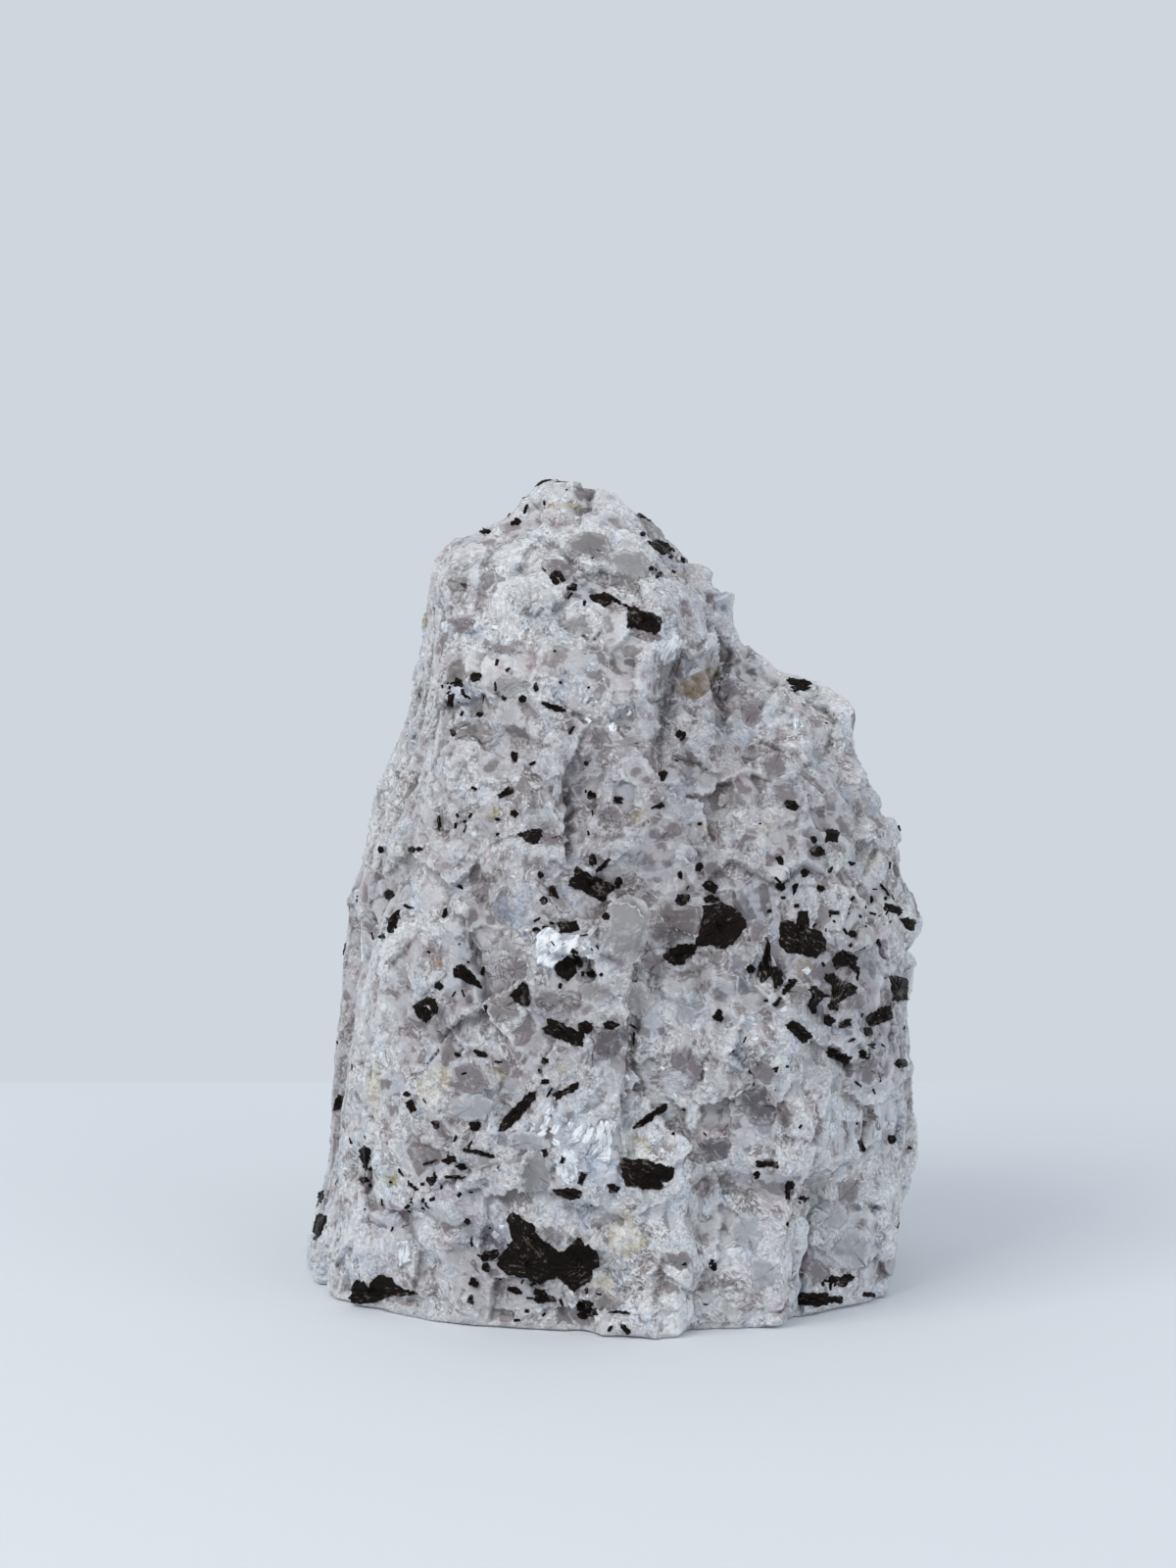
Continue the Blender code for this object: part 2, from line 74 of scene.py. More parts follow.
# Tourmaline crystals on the front, by the form of their cut face. Each is (across, down, length, width,
# turn) in view units, and the turn says how many degrees its right end dips.
FRONT_CRYSTALS = {
    "section": [
        (485.7, 690.6, 14, 10, -10), (533.8, 713.3, 9, 8, 0), (514.7, 712, 8, 5, 80), (489.6, 729, 7, 6, 0),
        (463, 748.4, 8, 6, 90), (525, 772, 12, 8, 80), (515.5, 809.5, 19, 11, -30),
        (676.5, 791.3, 13, 10, -20), (556, 581, 7, 5, 20), (551.6, 893, 8, 7, 80),
        (555.2, 919, 10, 8.5, 80), (604.8, 877.5, 15, 9, 85), (619, 935.3, 9, 8.5, 0),
        (576.7, 987.4, 27, 25, 20), (448, 1006, 10, 10, 0), (436.2, 1030.5, 29, 26, 80),
        (571.5, 1006, 6.5, 4.5, 90), (623, 1046, 17, 10, 5), (597.6, 1048.6, 16, 14, 10),
        (713, 885.4, 10, 10, 0), (694, 893, 8, 6, 70), (725, 905.3, 17, 12, 20), (725.3, 917.5, 18, 9, 5),
        (765.9, 988.5, 9.5, 8.5, 80), (796.4, 904.7, 11, 10, 20), (869.3, 953.3, 8, 8, 0),
        (837.3, 906.4, 10, 8, 20), (808.5, 1002.4, 13, 11, 0), (796, 878, 10, 8, 60),
        (821, 891, 11, 9, -20), (847, 888, 8, 5, -60), (869, 881, 7, 5, 20), (808, 821.5, 17, 11, 10),
        (845.5, 1041, 14, 13, 0), (918, 1085.6, 11, 10, 30), (909.5, 1162.5, 10, 9, 80),
        (727.2, 1290.4, 12, 9, 70), (415.3, 1116, 8, 7, 0), (556.4, 1082.4, 8, 7, 20),
        (625.3, 1212, 14, 10, -10), (391, 956, 5, 4, 0), (421.3, 867, 7, 6, 90), (388.6, 867.3, 8, 7, 90),
        (477, 1246, 7, 7, 0), (415.5, 1231, 5.5, 5, 0), (818, 1224.5, 9, 9, 0), (806, 1209, 11, 10, 0),
        (525, 830, 9, 9, 0), (508, 836, 6, 4, 0), (373, 1204, 9, 7, 0), (598, 779, 6, 5, 60),
        (655.7, 545, 6, 4, 90), (830, 857, 9, 6, 70), (834, 869, 14, 12, 20), (714, 840.7, 5, 4, 0),
        (500, 1281, 22, 11, -15), (687, 1157, 4.5, 4, 30), (571.6, 696.3, 3, 3, 0),
        (600.6, 701.5, 3.5, 3, 0), (517.5, 684.5, 3, 3, 0), (474.5, 838, 4, 4, 0), (566, 664.5, 3, 3, 0),
        (399, 1206.5, 3.5, 3, 0), (550, 1092, 3, 3, 0),
    ],
    "prism": [
        (658, 635, 38, 21, 18), (580.6, 946, 22, 12, -8), (576, 1054, 42, 16, 24), (849, 853, 14, 13, 8),
        (815, 1052, 26, 12, 42), (861.9, 1044.6, 13, 7, -15), (856.5, 1078, 27, 9, 22),
        (578, 1113.6, 29, 6, -27), (783.6, 1188.4, 25, 6, 2), (419.6, 1129, 14, 8, 60),
        (885, 1052.5, 9, 7, 80), (803.5, 1217, 13, 5, 92), (911, 927.7, 19, 7, 20), (460, 714.4, 14, 6, 92),
        (851.2, 931, 12, 5, 5), (830, 1326, 30, 13, 2), (852, 1326, 16, 7, 0), (593.6, 1202.4, 13, 6, -65),
        (556.4, 1103.3, 8.5, 5, 0), (573.7, 1183.7, 7, 4, -70), (556.4, 1176, 9, 5, 75),
        (793.6, 1021.6, 13, 4, -45), (603.3, 903.5, 44, 20, 27),
    ],
    "blade": [
        (566, 722, 29, 6, 18), (476, 711, 12, 3, 40), (448.7, 839, 15, 4, 88), (401, 942, 26, 9, -68),
        (454, 932.3, 12, 4.5, -80), (615.7, 883, 22, 5, -45), (588.5, 976.7, 22, 8, 65),
        (492.9, 990.8, 10, 4, -80), (646, 1047.5, 8, 2, 40), (647, 1061, 15, 2, 90),
        (528.8, 1134, 56, 12, -47), (560.7, 1114.8, 11, 3, -62), (663.5, 1140, 50, 7.5, -35),
        (488.6, 1176, 40, 4, 14), (464, 1201, 24, 3, 2), (422, 1210.8, 12, 3, 35), (879, 1169.5, 14, 5, 60),
        (902.4, 907.5, 17, 3, 50), (583.6, 745, 11, 3, -55), (543.5, 779, 8, 3, -25),
        (480, 833, 7, 2.5, -60), (481.3, 1266, 12, 2, 85), (638, 1356, 15, 5, 45), (622.4, 1356, 8, 4, -50),
        (885.6, 1321, 15, 5, 5), (508.4, 1083.6, 10, 2.5, 5), (474, 1095, 8, 3, -15),
        (490.5, 1075, 15, 6, 22), (466.8, 1076, 8, 4, 20), (439, 1186, 16, 4, -20), (409, 1196, 9, 2, 55),
        (444, 1200, 2, 8, 0), (505.7, 700.8, 11, 4, 85), (889, 918, 7, 2.5, 85), (875.7, 1106, 9, 3, 35),
        (720, 1330.7, 6, 1.6, 10), (610.8, 1320.4, 7, 2, 12), (632, 1339, 22, 3, 4), (896, 961, 8, 3, 95),
        (536.7, 519.5, 11, 3, -70), (555.3, 513.3, 5, 2, 85), (696.5, 571.6, 8, 3, 55),
        (642, 621, 18, 2.2, 33), (626, 612, 18, 3, 32), (781.9, 1021, 5, 2.5, 0), (869, 1061, 9, 2.4, -25),
        (889, 1066, 8, 2, 0), (912, 1307, 15, 3, 95),
    ],
    "wedge": [
        (494.8, 542.8, 12, 5, -10), (671.6, 558, 25, 11, 22), (582.7, 600, 13, 8, -12),
        (612.7, 611.3, 24, 14, 8), (671, 823, 14, 6, -20), (565.4, 912, 15, 9, 230),
        (398, 913.7, 11, 9, -60), (418, 925.5, 11, 4, 192), (479.7, 998.7, 36, 13, 218),
        (465, 992.5, 11, 8, 60), (534, 1017, 25, 22, 230), (810.7, 907.5, 14, 6, -75),
        (579, 1216.8, 34, 12, 8), (374, 1182, 25, 11, 265), (347, 1125.6, 18, 9, -62),
        (326.5, 1253, 26, 10, -80), (802, 1010, 12, 7, -60), (925.5, 941.6, 17, 13, 30),
        (837, 868, 10, 8, 60), (328.4, 1221.6, 14, 5, -84), (684, 568.7, 5, 4, 0), (487, 543, 5, 3, 0),
        (719, 1157, 5, 2, 40),
    ],
    "ragged": [
        (567.5, 590, 19, 14, 30), (467.6, 697.4, 11, 9, 0), (547.4, 704, 13, 7, 85),
        (694.5, 751, 14, 18, 20), (604.4, 811.7, 11, 12, 0), (631.6, 816.3, 14, 7, 5),
        (697.2, 914.5, 19, 20, 0), (547.7, 947.7, 10, 6, 0), (603.3, 993, 13, 11, 0), (847, 997, 14, 12, 0),
        (829, 1028, 9, 12, 0), (850, 1026, 9, 14, 100), (731, 1036.5, 15, 14, 0),
        (486.8, 1148.4, 18, 13, 0), (443.6, 1148, 12, 9, 0), (551.6, 1322, 28, 13, 14),
        (524, 1316, 19, 7, 20), (484.4, 1309, 12, 10, 0), (482, 1326, 11, 10, 0), (597, 1336, 27, 20, 10),
        (857, 1306, 27, 15, 0), (526.5, 533, 12, 7, -20), (672.7, 588, 8, 6, 0), (812.5, 698.5, 30, 14, 10),
        (772.8, 1198, 9, 7, 0), (496, 1294, 13, 12, 60), (664, 580, 5, 6, 0), (458, 1184, 16, 9, -12),
        (440, 1205, 12, 12, 0), (632, 902, 14, 12, 27), (680, 1200, 14, 16, 5), (470.7, 906, 8, 5, 30),
        (470, 1190, 12, 8, 0), (824.5, 973.6, 11, 8, 0), (428, 866, 7, 6, 0),
    ],
}

# The largest crystals on the front, each by its whole outline in view units
OUTLINED_CRYSTALS = {
    "five_sided": [
        (716.8, 924.5), (725.3, 922.4), (737, 920.3), (748.8, 926.7), (759.5, 936.3), (761.2, 944.8),
        (753, 956.5), (746.7, 964), (737, 968.3), (725.3, 965), (710.4, 966.1), (709.3, 959.7),
        (714.7, 949), (716.4, 936.3),
    ],
    "beside_five_sided": [
        (677.3, 973.6), (691.2, 964), (711, 963), (710, 971.5), (700.8, 977.9), (697.6, 984.3),
        (685.9, 984.3), (680.5, 979),
    ],
    "spike": [
        (782.9, 954.4), (786, 970.4), (788.3, 985.3), (797.9, 989.6), (798.9, 1004.5), (791.5, 1007.7),
        (787.2, 996), (776.5, 1004.5), (772.7, 996), (773.3, 985.3), (778.7, 981), (780.8, 966),
    ],
    "right_cluster_high": [
        (796.5, 941), (803.6, 939), (812.6, 943.4), (813.8, 929.4), (825.3, 929), (826, 947),
        (835.5, 949.8), (842.4, 958.7), (840.6, 970), (831.7, 977.8), (821.5, 974), (803.6, 972.7),
        (796, 965), (794.7, 952.3),
    ],
    "right_cluster_right": [
        (852, 975), (859.7, 969.7), (867.3, 970.7), (874.4, 977.8), (872.4, 984), (876, 989), (873.7, 993),
        (866, 986.7), (859.7, 985.4), (852, 989), (849.5, 981.6),
    ],
    "right_cluster_low": [
        (841.8, 995.6), (849.5, 993), (859.7, 1000.7), (875, 1007), (872.4, 1013.4), (859.7, 1021),
        (849.5, 1030), (845, 1030), (848.2, 1013.4), (848.2, 1003.2), (841.8, 1000.7),
    ],
    "right_cluster_middle": [
        (824, 1008.3), (833, 1006.3), (839.8, 1013.4), (838, 1022.3), (830.4, 1027.4), (831.7, 1033.8),
        (824, 1026), (827.8, 1018.5),
    ],
    "right_edge_upper": [(907.7, 993.9), (926.9, 1000.3), (924.8, 1022.7), (905.6, 1019.5)],
    "right_edge_lower": [
        (884.3, 1036.5), (898, 1029), (911, 1025.4), (917, 1029), (915.2, 1036.5), (902.4, 1043),
        (888.5, 1047.2), (884.3, 1042),
    ],
    "banded_prism": [
        (632.4, 1188.4), (636, 1182), (657.6, 1182.9), (669.6, 1187), (687.6, 1192), (688.3, 1198),
        (676.8, 1204), (675.6, 1213.6), (658.8, 1214), (638.4, 1210),
    ],
    "cluster_upper": [
        (516.8, 1245.6), (520.4, 1238.4), (526.4, 1238.4), (545.6, 1251.6), (545.6, 1257.6),
        (556.4, 1267.2), (574.4, 1279.2), (569.6, 1291.2), (545.6, 1284), (524, 1269.6),
    ],
    "cluster_right": [
        (588.8, 1263.6), (599.6, 1269.6), (610.9, 1281.6), (610.4, 1291.2), (605.6, 1296), (603.2, 1305.6),
        (586.4, 1317.6), (574.4, 1308), (560, 1296), (569.6, 1279.2), (579.2, 1274.4),
    ],
    "cluster_left": [
        (507.2, 1292.7), (509, 1282.4), (517.6, 1273), (527, 1262), (546, 1268), (566, 1282), (571, 1300),
        (563.5, 1305), (551.6, 1309.8), (534.6, 1304), (517.6, 1299.5),
    ],
    "foot_feather": [
        (340.4, 1322.4), (346.4, 1316.4), (360.8, 1311.6), (363.2, 1305.6), (370.4, 1306.8), (376.4, 1314),
        (380, 1305.6), (387.2, 1302), (400.4, 1303.2), (404, 1310.4), (413.6, 1315.2), (425.6, 1318.8),
        (416, 1321.2), (401.6, 1321.2), (387.2, 1327.2), (368, 1329.6), (356, 1330.8), (341.6, 1327.2),
    ],
}

# Grains of quartz and feldspar large enough to tell apart on the front, by colour, placed as the crystals are
FRONT_GRAINS = {
    "grey_quartz": [
        (539, 564.8, 22, 8, -60), (671.6, 581, 19, 18, 0), (586.6, 671, 24, 10, 40),
        (517.5, 664, 34, 10, 5), (488, 748, 52, 24, 0), (520, 750, 26, 20, -20), (489, 834, 20, 16, 0),
        (400.4, 920, 20, 40, 10), (450, 1040, 18, 30, 0), (470.7, 1050, 15, 24, 5),
        (513.7, 1029, 44, 34, 10), (817, 1014, 26, 24, 0), (497.6, 1188, 24, 22, 0),
        (419.6, 1248, 24, 19, 20), (787, 1201, 24, 24, 30), (691, 1286, 34, 19, 0), (619, 1329, 34, 20, 0),
        (524, 1217, 22, 19, 0), (746, 816, 30, 22, 10), (702, 804, 26, 18, -10), (846, 936, 30, 22, 0),
        (655, 1047, 22, 20, 0), (716, 1204, 26, 24, 10), (560, 1019, 30, 18, 20), (866, 1216, 30, 28, 0),
    ],
    "pale_quartz": [
        (522.8, 961, 38, 22, 0), (700, 868, 26, 20, 10), (650, 1020, 34, 40, 0), (610, 1014, 40, 34, 20),
        (556, 1120, 20, 24, 0), (736, 790, 26, 22, 0), (546, 1198, 40, 44, 0), (640, 760, 36, 26, 0),
        (588, 640, 36, 26, 10), (520, 700, 40, 26, 0),
    ],
    "clear_quartz": [
        (760, 1256, 44, 40, 0), (868, 1276, 44, 46, 0), (780, 1300, 40, 36, 30), (905, 1128, 40, 60, 0),
        (850, 1240, 40, 30, 20),
    ],
    "lavender_quartz": [
        (657, 646, 36, 16, 18), (472, 636, 38, 22, -10), (744, 706, 27, 34, -10), (624.8, 830, 30, 19, 0),
        (684, 846, 30, 18, -10), (527, 989, 28, 26, 0), (869, 1021, 30, 26, 0), (885, 1090, 34, 34, 0),
        (832.8, 1297, 25, 27, 0), (766, 730, 22, 26, 0), (560, 856, 40, 18, 10), (790, 780, 30, 36, 0),
        (640, 700, 26, 18, 0), (835, 1010, 24, 24, 0), (468, 1015, 24, 18, 0),
    ],
    "brown_quartz": [(690, 690, 14, 40, 10)],
    "dark_quartz": [(826, 1032, 22, 18, 0), (470, 1052, 12, 20, 0)],
    "cream_feldspar": [
        (638.4, 1261.6, 48, 56, 0), (382, 1112, 26, 70, 5), (651.6, 1171.6, 30, 22, 0),
        (614, 1307, 28, 20, 0), (888, 878, 26, 20, 0), (822, 986, 22, 20, 0), (486, 541, 16, 6, -10),
    ],
    "stained_feldspar": [
        (399, 1202, 26, 22, 0), (507, 1099, 36, 14, 15), (572, 1090, 22, 13, 0), (654, 834, 22, 26, 30),
        (411.7, 870.7, 28, 9, -25), (556.8, 859, 28, 7, 5), (576, 516, 42, 9, 0), (780, 845, 26, 10, -25),
        (718, 843, 18, 14, 0), (447, 982, 20, 7, 30), (505, 830, 18, 10, 0),
    ],
    "blue_feldspar": [
        (592, 1168, 66, 72, 0), (452, 1226, 58, 44, 0), (388, 1286, 50, 50, 0), (566, 1226, 40, 34, 0),
        (750, 744, 40, 40, 0), (640, 872, 40, 40, 0), (624, 984, 40, 34, 0), (688, 1104, 40, 34, 0),
        (790, 728, 44, 34, 0), (413.6, 1279, 16, 26, 0), (780, 1157, 28, 26, 0), (560, 620, 50, 26, 10),
        (550, 836, 50, 28, 0), (520, 930, 50, 34, 10), (736, 905, 34, 26, 0), (700, 1030, 60, 40, 10),
        (460, 900, 50, 34, 0), (470, 1130, 30, 26, 0), (800, 1110, 40, 30, 0), (600, 1240, 30, 24, 0),
    ],
}
# The grains that stand out most on the front, each by its kind and its whole outline in view units
OUTLINED_GRAINS = {
    "high_left": ("lavender_quartz", [
        (461, 556), (470, 551), (483, 549), (504, 550), (507, 554), (496, 558), (483, 563), (473, 568),
        (463, 571), (461, 564),
    ]),
    "high_dome": ("grey_quartz", [
        (575, 566), (578.5, 554), (590, 545), (605, 544), (618, 548), (623, 559), (620, 571), (608, 572.5),
        (600, 567.5), (592, 567.5), (582, 571.5),
    ]),
    "nub": ("lavender_quartz", [
        (717, 607), (724, 601), (737, 601), (745, 609), (743.5, 620), (733.5, 625), (722, 620),
    ]),
    "left_below": ("grey_quartz", [
        (455, 595.5), (465, 586), (478, 587), (481, 595.5), (473, 602), (461, 605),
    ]),
    "behind_high_crystals": ("lavender_quartz", [
        (552, 579), (562, 571.5), (575, 571.5), (588, 581), (588, 587), (580, 595.5), (569, 594),
    ]),
    "high_right": ("grey_quartz", [
        (620, 587), (631, 584), (644.5, 587), (654, 597), (648, 607), (635, 600.5), (621, 597),
    ]),
    "high_block": ("pale_quartz", [
        (623, 567.5), (635, 561.5), (654, 564), (663, 574), (658, 590.5), (641, 587), (625, 581),
    ]),
    "knob_end": ("grey_quartz", [(606.5, 501.5), (615, 500), (628, 510), (623, 514.5), (613, 511.4)]),
    "knob_spot": ("grey_quartz", [(577, 501.5), (587, 501.5), (587, 510), (577, 510)]),
    "cave_crystal": ("tan_feldspar", [
        (688.6, 699.7), (714.7, 685), (736.2, 679.3), (728, 702), (710, 713.3), (695.4, 708.7),
    ]),
    "lens": ("pale_quartz", [
        (640, 912), (655, 918), (665, 930), (665, 948), (655, 970), (632, 977), (618, 978), (610, 962),
        (612, 940), (624, 922),
    ]),
    "lens_right": ("brown_quartz", [
        (665, 930), (680, 920), (700, 925), (715, 926), (714, 945), (708, 958), (690, 960), (668, 968),
        (656, 970), (664, 950),
    ]),
    "below_lens": ("lavender_quartz", [
        (654, 975), (662, 970), (678, 977), (684, 988), (680, 993), (662, 993), (654, 988),
    ]),
    "below_five_sided": ("grey_quartz", [
        (710, 970), (722, 967), (740, 968), (743, 977), (732, 985), (725, 983), (719, 975),
    ]),
    "right_of_five_sided": ("lavender_quartz", [
        (761, 941), (774, 938), (783, 944), (782, 954), (778, 962), (766, 962),
    ]),
    "above_prism": ("lavender_quartz", [
        (587, 1028), (594, 1024), (602, 1030), (604, 1040), (596, 1042), (587, 1040),
    ]),
    "below_prism": ("purple_quartz", [
        (602, 1050), (612, 1048), (622, 1051), (636, 1049), (643, 1058), (636, 1066), (628, 1078),
        (614, 1082), (604, 1080), (606, 1066),
    ]),
    "right_of_crack": ("lavender_quartz", [
        (688, 1070), (700, 1066), (708, 1072), (712, 1082), (718, 1090), (714, 1100), (708, 1100),
        (698, 1096), (690, 1090), (684, 1086),
    ]),
    "low_grey": ("grey_quartz", [
        (608, 1200), (614, 1190), (630, 1189), (632, 1200), (626, 1208), (612, 1207),
    ]),
    "left_lavender": ("lavender_quartz", [
        (461.5, 1091), (477, 1084), (490, 1089), (500.6, 1104.5), (490, 1115), (470, 1116.5), (461.5, 1108),
    ]),
    "low_left_lavender": ("lavender_quartz", [
        (373, 1234.6), (392, 1224), (415.6, 1234.6), (429, 1245), (426, 1258.6), (409, 1258.6),
        (388, 1251.8), (375, 1245),
    ]),
    "in_cluster": ("grey_quartz", [
        (548, 1255), (558, 1251.8), (572, 1255), (579, 1263.8), (568.6, 1269.6), (555, 1267),
    ]),
    "ice_left": ("clear_quartz", [
        (458, 1128.5), (470, 1118), (490, 1116.5), (504, 1125), (497, 1142), (477, 1144), (463, 1139),
    ]),
    "ice_middle": ("clear_quartz", [
        (519, 1159), (531, 1152.5), (551.6, 1159), (562, 1173), (538, 1173), (521, 1169.6),
    ]),
    "left_cream": ("cream_feldspar", [
        (426, 1104.5), (436, 1091), (450, 1084), (461.5, 1097.6), (456.4, 1118), (439.4, 1133.6),
        (429, 1125),
    ]),
    "smoky_mottled": ("dark_quartz", [
        (750, 1115), (765, 1105.6), (781, 1109), (784, 1121.6), (793.6, 1131), (787, 1147), (768, 1147),
        (758, 1134), (749, 1128),
    ]),
    "smoky_right": ("dark_quartz", [
        (861, 1144), (877, 1145.6), (896, 1150), (909, 1155), (915, 1165), (899, 1166), (880, 1165),
        (864, 1157),
    ]),
    "brown_spot": ("brown_quartz", [(792, 1125), (803, 1125), (809.6, 1137.6), (803, 1152), (793.6, 1144)]),
    "lavender_by_crack": ("lavender_quartz", [
        (763, 1080), (777.6, 1080), (790, 1093), (784, 1107), (768, 1099),
    ]),
    "smoky_low": ("dark_quartz", [
        (715, 1165), (733, 1160), (747, 1166), (742, 1182), (723, 1185.6), (715, 1176),
    ]),
    "white_block": ("blue_feldspar", [(768, 1149), (781, 1142), (793.6, 1153.6), (790, 1165), (774, 1164)]),
    "left_white": ("blue_feldspar", [
        (428, 1216), (446, 1206), (470, 1210), (498, 1202), (512, 1214), (506, 1236), (484, 1242),
        (462, 1250), (442, 1240), (430, 1230),
    ]),
    "shoulder_white": ("blue_feldspar", [
        (758, 716), (776, 710), (800, 716), (806, 734), (792, 748), (770, 744), (756, 732),
    ]),
}

# Flat cleavage faces that catch the light, each by its whole outline in view units
CLEAVAGE_FACES = {
    "bright_plate": [
        (546.6, 954.5), (559, 945.5), (572.7, 952.3), (592, 954.5), (590.8, 963.6), (581.7, 972.7),
        (561.3, 988.5), (547.7, 984),
    ],
    "bright_chip": [(592, 961), (601, 960), (603, 968), (594, 970)],
    "cave_block": [(669.3, 657.7), (687.5, 646.4), (696.5, 653), (692, 671.3), (676, 678)],
    "high_spark": [(621, 740), (626, 736), (630, 743), (626, 747), (622, 746)],
    "shoulder_chip": [(808, 730), (814, 728), (816, 742), (811, 746)],
    "right_spark": [(818, 990), (824, 986), (828, 991), (823, 995)],
    "low_left": [(404, 1268), (416, 1266), (420, 1286), (409, 1292)],
    "middle_spark": [(756, 1040), (768, 1036), (772, 1046), (762, 1050)],
}

# Narrow cleavage slats, placed as the crystals are
CLEAVAGE_SLATS = [
    (612, 1160, 34, 9, -75), (620, 1164, 38, 8, -86), (606, 1173, 22, 8, -60), (616, 1181, 14, 8, -20),
    (600, 1158, 20, 7, -65), (590, 1156, 18, 8, -50), (583, 1166, 16, 7, -30), (592, 1172, 14, 7, 10),
    (578, 1178, 20, 9, 80), (585, 1192, 26, 9, 85), (576, 1198, 18, 8, 70), (573, 1186, 12, 7, 40),
    (562, 1134, 12, 7, -40), (557, 1146, 16, 7, -70), (567, 1152, 14, 7, -50), (574, 1142, 12, 6, 20),
    (581, 1150, 10, 6, -60), (553, 1157, 10, 6, -30), (568, 1166, 10, 6, 30), (590, 1206, 8, 5, 0),
    (598, 963, 9, 8, 10), (606, 969, 8, 6, 30), (601, 975, 6, 4, -30), (548, 988, 8, 4, 20),
    (640, 1100, 7, 4, 60), (800, 1030, 8, 5, -30), (808, 1046, 6, 4, 20), (600, 735, 7, 4, 40),
    (642, 728, 6, 3, -50), (720, 660, 8, 4, 70), (455, 640, 4, 12, 0), (505, 640, 8, 4, 10),
    (770, 1060, 8, 4, 10), (700, 1010, 8, 4, 70), (690, 1120, 9, 4, 80), (505, 1260, 8, 6, 40),
    (512, 1252, 5, 4, 0), (880, 1230, 9, 4, 60), (676, 1090, 5, 3, 30), (640, 640, 7, 4, 20),
    (580, 1189, 24, 10, 84), (571, 1192, 16, 8, 75), (584, 1180, 16, 8, 60), (577, 1204, 12, 7, 80),
]

# Lines where the broken surface steps. Each is its points in view units from the top down, how far the left
# side stands above the right in millimetres, and how far from the line the step is felt.
STEP_LINES = {
    "middle_step": ([(574, 788), (577, 815), (576, 845), (577, 873)], 0.8, 1.8),
    "low_slab_edge": ([(822, 1222), (828, 1252), (817, 1293), (811, 1352)], 1.1, 3.0),
    "right_slab_edge": ([(905, 930), (913, 1000), (922, 1080), (924, 1150)], 0.7, 2.2),
    "shoulder_side": ([(792, 700), (774, 730), (768, 770)], -1.0, 3.0),
    "cave_side": ([(745, 652), (746, 672), (738, 705), (744, 735)], -0.9, 2.6),
    "cave_left": ([(676, 640), (668, 668), (676, 700), (672, 740)], 0.9, 2.4),
    "left_corner": ([(478, 590), (470, 680), (462, 760), (452, 840)], -0.5, 2.0),
    "foot_edge": ([(672, 1290), (664, 1330), (676, 1372)], 0.8, 2.2),
    "low_middle": ([(716, 1165), (704, 1215), (712, 1260)], -0.5, 2.0),
    "high_ledge": ([(560, 760), (520, 742), (480, 738)], 0.5, 2.0),
    "under_lens": ([(720, 985), (670, 995), (640, 985), (612, 968)], 0.6, 2.0),
}
CRACK_LINES = {
    "long_crack": ([(650, 985), (649, 1040), (641, 1100), (637, 1150)], 0.6, 0.55),
    "cave_crack": ([(737, 640), (741, 672), (735, 700), (742, 726)], 1.0, 1.0),
    "step_crack": ([(578, 800), (580, 840), (579, 872)], 0.8, 0.6),
    "slab_crack": ([(830, 1235), (822, 1290), (816, 1348)], 0.9, 0.6),
    "under_shoulder": ([(776, 742), (770, 790), (776, 820)], 0.6, 0.8),
    "right_crack": ([(906, 1010), (914, 1070), (918, 1130)], 0.6, 0.7),
    "lens_rim": ([(612, 930), (610, 955), (622, 976), (650, 985)], 0.4, 0.5),
    "fan_crack": ([(563, 1126), (560, 1160), (566, 1205)], 0.5, 0.6),
}
# Where fine tourmaline specks gather on the front: (across, down, spread, share) in view units
SPECK_AREAS = [
    (885, 930, 34, 1.0), (868, 962, 34, 1.0), (845, 1012, 40, 0.9), (800, 900, 34, 0.7),
    (700, 900, 20, 0.5), (545, 950, 24, 0.7), (480, 1000, 34, 0.4), (436, 1142, 26, 1.0),
    (470, 1182, 34, 1.0), (424, 1206, 30, 1.0), (540, 1306, 50, 0.8), (850, 1312, 26, 0.8),
    (780, 1100, 34, 0.6), (480, 705, 26, 0.9), (530, 705, 26, 0.6), (606, 812, 22, 0.7),
    (478, 836, 22, 0.6), (800, 1112, 30, 0.6), (880, 1070, 24, 0.7), (590, 594, 26, 0.6),
    (372, 1194, 22, 0.8), (660, 585, 14, 0.8), (500, 1290, 22, 0.9), (600, 990, 24, 0.8),
    (880, 1110, 30, 0.4),
]
# Where the rock is smokier and holds more quartz, given the same way
SMOKY_AREAS = [
    (600, 880, 90, 0.8), (720, 900, 110, 1.0), (700, 800, 90, 1.0), (600, 775, 60, 0.9),
    (845, 1000, 70, 1.0), (850, 830, 60, 0.9), (590, 1060, 50, 0.9), (480, 1010, 60, 0.7),
    (765, 1125, 46, 0.9), (700, 700, 50, 0.8), (500, 1300, 50, 0.8), (540, 740, 46, 0.6),
    (460, 850, 60, 0.5), (400, 900, 40, 0.4), (470, 1180, 36, 0.6), (740, 1010, 60, 0.6),
    (900, 1060, 50, 0.7), (500, 900, 50, 0.6), (690, 620, 30, 0.5), (815, 880, 60, 0.7),
    (640, 840, 70, 0.9), (590, 680, 50, 0.4), (760, 1200, 50, 0.4), (540, 1290, 40, 0.8),
    (650, 1100, 60, 0.4), (568, 1036, 44, 1.0), (510, 1105, 30, 1.0), (450, 1040, 34, 0.9),
    (812, 985, 46, 1.0), (510, 1282, 36, 1.0), (690, 862, 44, 1.0), (700, 566, 34, 0.6),
    (390, 745, 30, 0.6), (450, 1160, 26, 0.8), (810, 800, 30, 0.9), (880, 985, 34, 0.8),
    (450, 742, 34, 0.5), (870, 1280, 30, 0.5), (510, 742, 26, 0.8),
]
